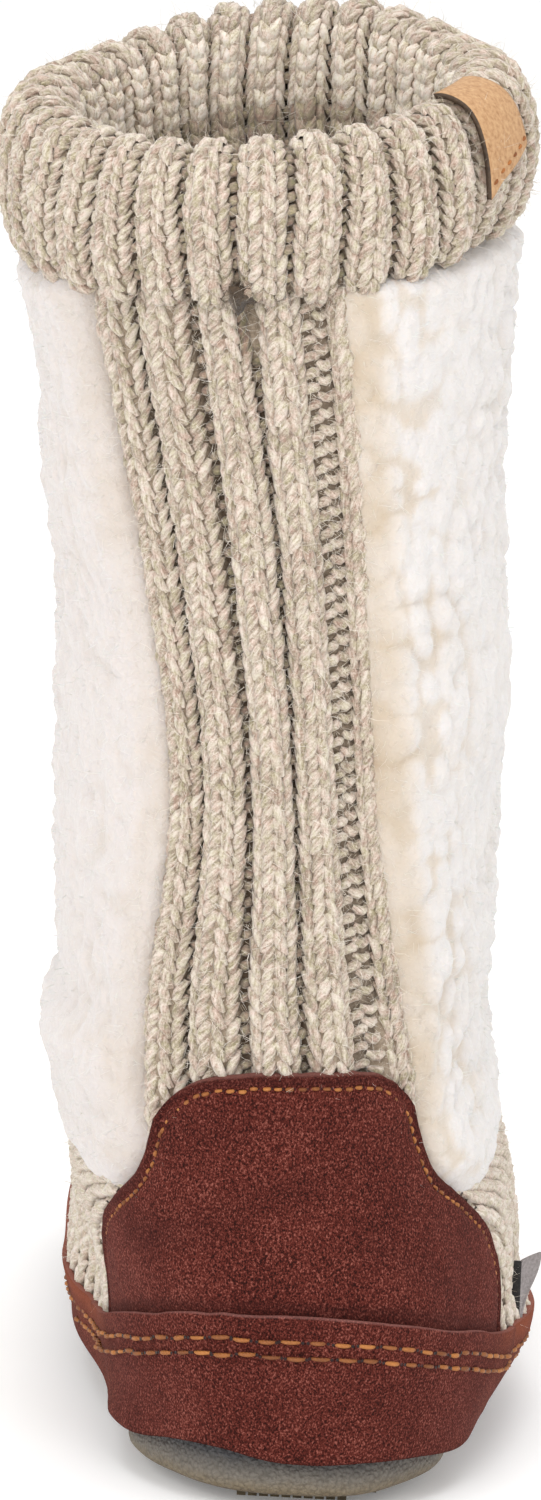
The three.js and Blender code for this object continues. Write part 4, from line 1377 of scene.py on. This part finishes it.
def patch_outline(inset):
    """The patch's outline drawn in by an inset, as distances round the heel and heights."""
    share = np.linspace(1, -1, 240)
    crown = patch_crown(share)
    top = np.stack([patch_lean(crown) + share * patch_half(crown), crown], -1)
    sides = {}
    for side in (1, -1):
        height = np.linspace(PATCH_STITCH_FOOT, patch_crown(side), 160)
        sides[side] = np.stack([patch_lean(height) + side * patch_half(height), height], -1)
    line = np.concatenate([sides[1], top[1:-1], sides[-1][::-1]])
    ahead = unit(np.gradient(line, axis=0))
    inward = np.stack([-ahead[:, 1], ahead[:, 0]], -1)
    return line + inward * inset


def spaced(line, pitch):
    """Points and directions along a line at an even pitch."""
    along = np.concatenate([[0], np.cumsum(np.linalg.norm(np.diff(line, axis=0), axis=1))])
    at = np.arange(pitch, along[-1] - pitch, pitch)
    points = np.stack([np.interp(at, along, line[:, axis]) for axis in range(line.shape[1])], -1)
    ahead = np.stack([np.interp(at + 0.5, along, line[:, axis]) for axis in range(line.shape[1])], -1)
    return points, unit(ahead - points)


def lay_thread(name, starts, ends, normals, thick, random, slot="suede"):
    """Stitches from starts to ends as one mesh, each bowed up between its two holes."""
    u = np.linspace(0, 1, 6)
    bow = np.sin(math.pi * u) ** 0.6
    centres = starts[:, None, :] + (ends - starts)[:, None, :] * u[:, None]
    centres = centres + normals[:, None, :] * (thick * (0.75 * bow - 0.45))[:, None]
    radius = thick / 2 * random.uniform(0.85, 1.15, len(starts))[:, None] * (0.6 + 0.4 * bow)
    across = np.broadcast_to(normals[:, None, :], centres.shape)
    piece = tubes(name, centres, across, radius, 0.9, 6, random.uniform(0, 1, len(starts)))
    return finish_piece(piece, slot, [thread])


def pricks(name, places, normals, size):
    """Painted shade in the needle holes: small dark dishes in one mesh."""
    sides = 7
    turn = np.arange(sides) * 2 * math.pi / sides
    right = unit(np.cross(normals, (0.0, 0.0, 1.0)))
    up = np.cross(right, normals)
    spoke = np.cos(turn)[:, None] * right[:, None, :] + np.sin(turn)[:, None] * up[:, None, :]
    ring = places[:, None, :] + size / 2 * spoke + normals[:, None, :] * 0.07
    middle = places[:, None, :] - normals[:, None, :] * 0.02
    points = np.concatenate([ring, middle], 1)
    side_at = np.arange(sides)
    fan = np.stack([side_at, (side_at + 1) % sides, np.full(sides, sides)], -1)
    faces = (np.arange(len(places))[:, None, None] * (sides + 1) + fan).reshape(-1, 3)
    piece = joined_mesh(name, points, faces)
    return finish_piece(piece, "suede", [holes_painted_shade])


def make_patch_stitches():
    random = np.random.default_rng(211)
    places, ahead = spaced(patch_outline(PATCH_STITCH_INSET), PATCH_STITCH_PITCH)
    places = places + random.normal(0, 0.12, places.shape)
    half = ahead * PATCH_STITCH_HALF
    ends = []
    for share in (-1, 1):
        s, t = (places + half * share).T
        points, normals = heel.at(s, t)
        lift = patch_lift(np.full(len(s), PATCH_STITCH_INSET), s, t)
        lift = lift - PATCH_SEWN_IN * (1 - ramp(t, *PATCH_SEWN_HEIGHT))
        ends.append(points + normals * lift[:, None])
    normals = heel.at(places[:, 0], places[:, 1])[1]
    lay_thread("patch_thread", ends[0], ends[1], normals, PATCH_THREAD, random)
    pricks("patch_holes", ends[0], normals, PATCH_HOLE)


# Sidewall of the same suede, all the way round the foot
FOXING_PATH_OUT = (0.4, 1.4, 2.2, 2.75, 2.75, 2.3, 1.7, 1.3, 1.2, 0.8, -0.4, -14)
FOXING_PATH_SHARE = (0.86, 0.985, 1.0, 0.985, 0.93, 0.7, 0.45, 0.2, 0.0, -0.022, -0.03, -0.035)
FOXING_FACE_ROWS = slice(8, 2, -1)  # the rows of its outer face, from the foot up
FOXING_GRID = (560, 33)
FOXING_ROWS = (4.8, 7.9)  # its two rows of sewing, down from the top edge
FOXING_STITCH_PITCH = 4.7
FOXING_THREAD = 0.85
FOXING_HOLE = 0.65
FOXING_THREAD_PROUD = 0.42
SEAM_STEP = 0.4
SEAM_TURN = {1: (0.9, 0.06), -1: (0.8, 0.25)}  # where the heel part ends, and how far on at its top edge


def side_seam(angle, share):
    """Turn past the end of the sidewall's heel part, which laps over the rest."""
    turn = back_turn(angle)
    start = np.where(turn > 0, SEAM_TURN[1][0], SEAM_TURN[-1][0])
    slant = np.where(turn > 0, SEAM_TURN[1][1], SEAM_TURN[-1][1])
    return np.abs(turn) - start - slant * share


def foxing_point(angle, share, out):
    """A point of the sidewall: share 0 is its lower turn and 1 its top edge."""
    along = wall(angle, FEATHER_EDGE)[..., 1]
    round_heel = 40 * (angle + QUARTER)
    edge = 0.5 * soft_noise(round_heel, 0 * round_heel, 9, 221)
    edge = edge + 0.22 * soft_noise(round_heel, 0 * round_heel, 2.2, 222)
    top = foxing_top(along) + edge * ramp(share, 0.3, 1)
    foot = foxing_foot(angle) + 0.45 * soft_noise(round_heel, 0 * round_heel, 13, 223)
    height = foot + (top - foot) * share
    out = out - heel_taper(angle) * (1 - share) ** 2 - SEAM_STEP * (side_seam(angle, share) > 0)
    swollen = 0.5 * soft_noise(round_heel, height, 16, 224)
    swollen = swollen + 0.15 * soft_noise(round_heel, height, 3.5, 225)
    return off_level(angle, np.maximum(height, FOXING_FOOT), out + swollen * ramp(share, -0.05, 0.3))


def foxing_place(u, v):
    """The sidewall from behind its top edge, down its face to the turn underneath."""
    row = v * (len(FOXING_PATH_OUT) - 1)
    rows = np.arange(len(FOXING_PATH_OUT))
    share = smooth(rows, FOXING_PATH_SHARE, row)
    return foxing_point(u * 2 * math.pi, share, smooth(rows, FOXING_PATH_OUT, row))


def make_foxing():
    band = laid_grid("sidewall_suede", FOXING_GRID, foxing_place)
    u, v = grid_shares(FOXING_GRID)
    angle = u * 2 * math.pi
    turn = np.abs(back_turn(angle))
    row = v * (len(FOXING_PATH_OUT) - 1)
    high = smooth(np.arange(len(FOXING_PATH_SHARE)), FOXING_PATH_SHARE, row)
    streak = 0.5 + 0.5 * soft_noise(turn * 60, high * 22, 4, 231)
    bend = ramp(turn, 0.62, 1.05)
    dye = bend * (0.25 + 0.75 * ramp(high, 0.5, 1.0)) * (0.3 + 0.7 * streak)
    point_values(band, "dye", np.clip(dye, 0, 0.75))
    # painted shade in the crack of the side seam and on the sidewall's underside
    crack = np.exp(-((side_seam(angle, high) / 0.014) ** 2))
    point_values(band, "rim", np.maximum(1.6 * crack, 0.4 * (1 - ramp(high, -0.04, 0.02))))
    point_values(band, "cut", 0.45 * ramp(high, 0.984, 0.998) * (0.6 + 0.4 * streak))
    edit(band, weld, face_out)
    return finish_piece(band, "suede", [suede], "foxing")


def make_foxing_stitches():
    random = np.random.default_rng(241)
    angles = np.arange(-QUARTER - 3.13, -QUARTER + 3.13, 0.002)
    along = wall(angles, FEATHER_EDGE)[:, 1]
    tall = foxing_top(along) - foxing_foot(angles)
    starts = []
    ends = []
    for drop in FOXING_ROWS:
        share = 1 - drop / tall
        face = np.interp(share, FOXING_PATH_SHARE[FOXING_FACE_ROWS], FOXING_PATH_OUT[FOXING_FACE_ROWS])
        line = foxing_point(angles, share, face + FOXING_THREAD_PROUD)
        keep = tall > drop + 4
        places, ahead = spaced(line[keep], FOXING_STITCH_PITCH)
        places = places + random.normal(0, 0.16, places.shape)
        reach = random.uniform(1.5, 1.9, len(places))[:, None]
        starts.append(places - ahead * reach)
        ends.append(places + ahead * reach)
    starts = np.concatenate(starts)
    ends = np.concatenate(ends)
    middle = (starts + ends) / 2 - (section("lean", 20.0), 20.0, 0)
    ahead = unit(ends - starts)
    normals = unit(np.cross(ahead, (0.0, 0.0, 1.0)))
    normals = normals * np.sign(np.sum(normals * middle * (1, 1, 0), axis=1))[:, None]
    lay_thread("sidewall_thread", starts, ends, normals, FOXING_THREAD, random)
    holes = np.concatenate([starts - ahead * 0.3, ends + ahead * 0.3])
    pricks("sidewall_holes", holes, np.tile(normals, (2, 1)), FOXING_HOLE)


suede = suede_material()
thread = thread_material()
# near black: painted shade in the needle holes
holes_painted_shade = ground_material("painted_shade_of_holes", "180a09", "2c1512")
make_patch()
make_patch_stitches()
make_foxing()
make_foxing_stitches()


# Outsole and insole
OUTSOLE_PATH = (  # inset from the sock body and height
    (10, 9.0), (3.4, 9.4), (2.6, 8.6), (2.2, 7.0), (2.2, 5.2), (3.0, 3.6), (5.4, 2.6), (11, 2.0),
)
OUTSOLE_RISE = (1, 1, 0.85, 0.45, 0.15, 0, 0, 0)  # share of the sidewall's lift that each row takes
INSOLE_RISE = (0, 0, 0, 0, 0, 0)
INSOLE_PATH = ((5, 9.5), (5, 15.5), (5.6, 17.2), (7.4, 18.2), (11, 17.8), (16, 17.0))
WAIST_TUCK = 5  # the outsole stays well under the sidewall along the waist
OUTER_TUCK = 1.6
OUTER_TUCK_TURN = (0.15, 0.5)
TUCK_FROM = (0.72, 0.98)
TUCK_TO = (1.45, 1.7)
ARCH_LIFT = 3
ARCH_FROM = 49
ARCH_HALF = 26
SPINE_ENDS = (-4, 190)
LUG_PITCH = 10
LUG_DEPTH = 6.6
LUG_TOP = 2.7
LUG_BLOCK = 2.1
LUG_GROUPS = ((0, 5), (108, 7))  # middle along the foot and count of bars
LUG_INSET = 13.0
LUG_HALF = 0.46  # of a block's pitch across
LUG_TAPER = 0.14
OUTSOLE_GRID = (240, 40)
INSOLE_GRID = (160, 44)


def plan_path(path, rises, closing, arch):
    """Place function of a closed slab: rows of inset and height, drawn in to a spine at both ends."""
    inset = np.array([row[0] for row in path], float)
    level = np.array([row[1] for row in path], float)
    last = len(path) - 1
    rows = np.arange(len(path))
    middle = wall(np.array([0.0, math.pi]), FEATHER_EDGE)[:, 0].mean()

    def place(u, v):
        angle = u * 2 * math.pi
        row = v * (last + 2 * closing) - closing
        held = np.clip(row, 0, last)
        turn = np.abs(back_turn(angle))
        waist = WAIST_TUCK * ramp(turn, *TUCK_FROM) * (1 - ramp(turn, *TUCK_TO))
        outer = OUTER_TUCK * ramp(back_turn(angle), *OUTER_TUCK_TURN)
        tucked = smooth(rows, inset, held) + arch * (heel_taper(angle) + waist + outer)
        points = off_level(angle, np.full(len(u), FEATHER_EDGE), -tucked)
        share = np.clip(np.maximum(-row, row - last) / closing, 0, 1)[:, None]
        along = points[:, 1]
        swing = np.maximum(0, along - SWING_START) / (TOE_END - SWING_START)
        spine = np.stack([middle - TOE_SWING * swing**2, np.clip(along, *SPINE_ENDS)], -1)
        points[:, :2] = points[:, :2] * (1 - share) + spine * share
        along = points[:, 1]
        bow = np.maximum(0, 1 - ((along - ARCH_FROM) / ARCH_HALF) ** 2)
        lift = ARCH_LIFT * bow * ramp(row, last - 2, last)
        taken = smooth(rows, np.array(rises, float), held)
        rise = taken * (foxing_foot(angle) - foxing_foot(0.0)) * (row >= 0)
        points[:, 2] = smooth(rows, level, held) + toe_spring(along, FEATHER_EDGE) + lift * arch + rise
        return points

    return place


def rubber_material():
    """Grained rubber, dusty and warmer towards its lower edge, with painted shade in dark grey along its top
    under the sidewall.
    """
    material, tree = new_material("grained_rubber", Roughness=0.6, Specular_IOR_Level=0.35)
    where = add(tree, "ShaderNodeTexCoord").outputs["Object"]
    bent = object_noise(tree, 900.0, 2.0, output="Color")
    warped = mixed(tree, 0.0009, where, bent, "ADD")
    grain = add(tree, "ShaderNodeTexVoronoi", {"Vector": warped, "Scale": 1150.0}).outputs["Distance"]
    cloud = object_noise(tree, 260.0, 5.0, rough=0.65)
    level = add(tree, "ShaderNodeSeparateXYZ", {"Vector": where}).outputs["Z"]
    span = {"Value": level, "From Min": 0.0022, "From Max": 0.0105}
    high = add(tree, "ShaderNodeMapRange", span).outputs["Result"]
    dusty = math_node(tree, "MULTIPLY_ADD", cloud, 0.3, -0.15)
    place = math_node(tree, "ADD", high, dusty, clamp=True)
    # painted shade: the top of the band, under the sidewall, goes dark grey; the lower edge is a darker
    # brown
    tint = ramp_node(tree, place, (0.0, "5a4833"), (0.2, "84765f"), (0.5, "7c756b"), (0.95, "4b4b4d"))
    groove = ramp_node(tree, grain, (0.0, "ffffff"), (0.45, "f0f0f0"), (0.8, "b4b0aa"))
    flip = math_node(tree, "SUBTRACT", 1.0, grain)
    dress(tree, mixed(tree, 0.55, tint, groove, "MULTIPLY"), bump(tree, flip, 0.9, 0.0007))
    return material


def tread_material():
    material, tree = new_material("tread_rubber", Roughness=0.8)
    dust = object_noise(tree, 500.0, 4.0)
    dress(tree, ramp_node(tree, dust, (0.3, "4a4030"), (0.7, "78694f")), bump(tree, dust, 0.4, 0.0004))
    return material


def fleece_material():
    material, tree = new_material("fleece", Roughness=1.0, Sheen_Weight=0.4)
    wool = object_noise(tree, 600.0, 5.0, rough=0.65)
    dress(tree, ramp_node(tree, wool, (0.3, "cdbfa6"), (0.7, "efe7d8")), bump(tree, wool, 0.9, 0.0012))
    return material


def make_outsole():
    sole = laid_grid("outsole_rubber", OUTSOLE_GRID, plan_path(OUTSOLE_PATH, OUTSOLE_RISE, 3, 1))
    edit(sole, weld, face_out)
    finish_piece(sole, "rubber", [rubber], "outsole")


def make_tread():
    """Short blocks in bars across the heel and the ball."""
    blocks = []
    angles = np.arange(-QUARTER, 1.5 * math.pi, 0.01)
    rim = off_level(angles, np.full(len(angles), FEATHER_EDGE), np.full(len(angles), -LUG_INSET))
    inner = rim[angles > QUARTER]
    outer = rim[angles <= QUARTER]
    for centre, count in LUG_GROUPS:
        for k in range(count):
            along = centre + (k - (count - 1) / 2) * LUG_PITCH
            along = max(along, rim[:, 1].min() + LUG_DEPTH / 2)
            left = np.interp(along, inner[::-1, 1], inner[::-1, 0])
            right = np.interp(along, outer[:, 1], outer[:, 0])
            for x in np.arange(left + LUG_BLOCK / 2, right, LUG_BLOCK):
                blocks.append((x, along))
    blocks = np.array(blocks)
    corner = np.array([(a, b, c) for a in (-1, 1) for b in (-1, 1) for c in (0, 1)], float)
    size = np.array([LUG_BLOCK * LUG_HALF, LUG_DEPTH / 2, LUG_TOP])
    shrink = 1 - LUG_TAPER * (1 - corner[:, 2:3])
    cube = corner * size * np.concatenate([shrink, shrink, np.ones_like(shrink)], 1)
    points = np.concatenate([blocks, np.zeros((len(blocks), 1))], 1)[:, None, :] + cube
    points[..., 2] += toe_spring(blocks[:, 1], FEATHER_EDGE)[:, None]
    quads = np.array([(0, 1, 3, 2), (4, 6, 7, 5), (0, 4, 5, 1), (2, 3, 7, 6), (0, 2, 6, 4), (1, 5, 7, 3)])
    faces = (np.arange(len(blocks))[:, None, None] * 8 + quads).reshape(-1, 4)
    lugs = joined_mesh("tread_blocks", points, faces)
    finish_piece(lugs, "rubber", [tread])
    lugs.data.polygons.foreach_set("use_smooth", np.zeros(len(lugs.data.polygons), bool))


def make_insole():
    bed = laid_grid("insole_fleece", INSOLE_GRID, plan_path(INSOLE_PATH, INSOLE_RISE, 6, 0))
    edit(bed, weld, face_out)
    points = points_of(bed) / MM
    points[:, 2] += 0.5 * soft_noise(points[:, 0], points[:, 1], 4, 251) * ramp(points[:, 2], 15, 17)
    move_points(bed, points * MM)
    finish_piece(bed, "fleece", [fleece], "insole")


rubber = rubber_material()
tread = tread_material()
fleece = fleece_material()
make_outsole()
make_tread()
make_insole()


# Leather tab over the cuff's rim, and the side label
TAB_RIBS = (4.5, 5.95)  # the ribs of the cuff that its two sides follow
TAB_FROM = 19.3
TAB_TO = 41.0
TAB_SLANT = 6.5
TAB_POINT = 1.6  # how far its lower corner hangs
TAB_THICK = 1.1
TAB_GRID = (20, 40)
TAB_THREAD = 0.6
TAB_STITCHES = 6
TAB_STITCH_HALF = 0.045  # of its width
TAB_LIFT = 1.7
TAB_SEAM = 2.6  # its sewing above the lower edge
LABEL_ALONG = 31
LABEL_WIDTH = 5.0
LABEL_HEIGHT = 12.5
LABEL_ROOT = -0.9
LABEL_OUT = (0.76, 0.65)
LABEL_LEAN = 0.6
LABEL_COLUMNS = 14
LABEL_ROWS = 12
LABEL_THICK = 0.7
LABEL_FOLD = 5  # columns of the dark folded edge
LABEL_FOLD_WIDTH = (2.0, 1.3)  # at the seam and at the top


def leather_material(name, codes, grain_scale):
    material, tree = new_material(name, Roughness=0.7)
    fine = object_noise(tree, grain_scale, 4.0, rough=0.65)
    tint = ramp_node(tree, fine, *zip((0.3, 0.5, 0.72), codes))
    dress(tree, tint, bump(tree, fine, 0.35, 0.0004))
    return material


def tab_place(u, v, lift=TAB_LIFT):
    """The tab's points, over the rim of the cuff."""
    slope = TAB_SLANT * u - TAB_POINT * (1 - ramp(u, 0.0, 0.3))
    t = TAB_FROM + slope * (1 - v) + (TAB_TO - TAB_FROM) * v
    s = (TAB_RIBS[0] + (TAB_RIBS[1] - TAB_RIBS[0]) * u) * RIB_PITCH
    points, normals = cuff.at(s, t)
    return points + normals * lift


def make_tab():
    random = np.random.default_rng(261)
    tab = laid_grid("cuff_tab_leather", TAB_GRID, tab_place)
    edit(tab, face_out)
    tab.data.materials.append(leather)
    tab.data.materials.append(leather_edge)
    apply(tab, "SOLIDIFY", thickness=TAB_THICK * MM, offset=1, material_offset_rim=1)
    finish_piece(tab, "leather", [], "cuff_tab")
    u = np.linspace(0.1, 0.9, TAB_STITCHES)
    row = np.full(len(u), TAB_SEAM / (TAB_TO - TAB_FROM))
    top = TAB_LIFT + TAB_THICK
    starts = tab_place(u - TAB_STITCH_HALF, row, top)
    ends = tab_place(u + TAB_STITCH_HALF, row, top)
    normals = unit(tab_place(u, row, top + 1) - tab_place(u, row, top))
    lay_thread("tab_thread", starts, ends, normals, TAB_THREAD, random, "leather")


def make_label():
    """A folded leaf sewn in at the sidewall's edge and standing out from the side."""
    base = foxing_top(LABEL_ALONG) - 1.5
    angles = np.arange(-1.2, 0.6, 0.002)
    line = wall(angles, base + 4.0)
    angle = np.interp(LABEL_ALONG, line[:, 1], angles)
    root = off_level(np.array([angle]), np.array([base]), np.array([LABEL_ROOT]))[0]

    def place(u, v):
        fold = np.minimum(u * LABEL_COLUMNS / LABEL_FOLD, 1)
        face = np.maximum(u * LABEL_COLUMNS - LABEL_FOLD, 0) / (LABEL_COLUMNS - LABEL_FOLD)
        reach = LABEL_WIDTH * face * (0.12 + 0.88 * ramp(v, 0.05, 0.95))
        folded = (LABEL_FOLD_WIDTH[0] + (LABEL_FOLD_WIDTH[1] - LABEL_FOLD_WIDTH[0]) * v) * fold
        x = root[0] + LABEL_LEAN * v + folded + LABEL_OUT[0] * reach
        y = root[1] + LABEL_OUT[1] * reach + 0.5 * np.sin(face * math.pi)
        return np.stack([x, y, root[2] + LABEL_HEIGHT * v + 1.2 * face * v], -1)

    leaf = laid_grid("side_label_leaf", (LABEL_COLUMNS, LABEL_ROWS), place)
    column = np.arange(LABEL_COLUMNS * LABEL_ROWS) % LABEL_COLUMNS
    leaf.data.polygons.foreach_set("material_index", (column < LABEL_FOLD).astype(np.int32))
    apply(leaf, "SOLIDIFY", thickness=LABEL_THICK * MM, offset=0)
    edit(leaf, face_out)
    finish_piece(leaf, "label", [label_cloth, label_fold], "side_label")


leather = leather_material("veg_leather", ("a2774e", "bb9167", "cba57a"), 1100.0)
leather_edge = leather_material("leather_cut_edge", ("30251c", "4a3a2c", "5d4a39"), 1200.0)
label_cloth = leather_material("label_cloth", ("77706f", "8d8685", "a09998"), 1500.0)
label_fold = leather_material("label_fold", ("0d0b0b", "1b1818", "332e2c"), 900.0)
make_tab()
make_label()


# Floor, light and camera
CAMERA_ELEVATION = math.radians(11)
CAMERA_ROLL = math.radians(3)
CAMERA_DISTANCE = 2.0
CAMERA_TARGET = Vector((-0.0112, 0, 0.1386))
PICTURE = (541, 1500)
FOCAL_PIXELS = 10702
SENSOR = 36.0
FLOOR_GLOW = 0.14  # the floor is lit from below, as on a light table
WORLD_LIGHT = 0.82
LIGHTS = (  # place, target, size and power
    ("key", (-0.8, -1.8, 1.05), (0, 0, 0.16), 1.2, 15.2),
    ("inside", (0.1, -0.9, 1.5), (0, 0.03, 0.25), 0.5, 5),
    ("fill", (1.5, -0.9, 0.9), (0, 0, 0.13), 1.4, 3),
    ("top", (0.0, 0.2, 2.4), (0, 0, 0.1), 2.2, 18),
)


def make_camera():
    data = bpy.data.cameras.new("camera")
    data.sensor_width = SENSOR
    data.lens = FOCAL_PIXELS / max(PICTURE) * SENSOR
    data.clip_start = 0.05
    data.clip_end = 50
    camera = bpy.data.objects.new("camera", data)
    bpy.context.scene.collection.objects.link(camera)
    forward = Vector((0, math.cos(CAMERA_ELEVATION), -math.sin(CAMERA_ELEVATION)))
    turn = forward.to_track_quat("-Z", "Y").to_matrix() @ Matrix.Rotation(CAMERA_ROLL, 3, "Z")
    camera.matrix_world = Matrix.Translation(CAMERA_TARGET - forward * CAMERA_DISTANCE) @ turn.to_4x4()
    bpy.context.scene.camera = camera


def make_light(name, place, target, size, power):
    data = bpy.data.lights.new(name, "AREA")
    data.size = size
    data.energy = power
    light = bpy.data.objects.new(name, data)
    bpy.context.scene.collection.objects.link(light)
    light.location = place
    light.rotation_mode = "QUATERNION"
    light.rotation_quaternion = (Vector(target) - Vector(place)).to_track_quat("-Z", "Y")


def make_stage():
    deselect()
    bpy.ops.mesh.primitive_plane_add(size=24, location=(0, 4, 0))
    floor = bpy.context.object
    floor.name = "floor"
    material, tree = new_material(
        "pale_floor", Roughness=0.9, Emission_Color=(1, 1, 1, 1), Emission_Strength=FLOOR_GLOW)
    paper = object_noise(tree, 40.0, 2.0)
    dress(tree, ramp_node(tree, paper, (0.0, "f4f4f3"), (1.0, "fafafa")))
    floor.data.materials.append(material)
    world = bpy.data.worlds.new("studio")
    world.use_nodes = True
    world.node_tree.nodes["Background"].inputs["Color"].default_value = (1, 1, 1, 1)
    world.node_tree.nodes["Background"].inputs["Strength"].default_value = WORLD_LIGHT
    bpy.context.scene.world = world
    for light in LIGHTS:
        make_light(*light)
    bpy.context.scene.view_settings.view_transform = "Standard"


make_camera()
make_stage()
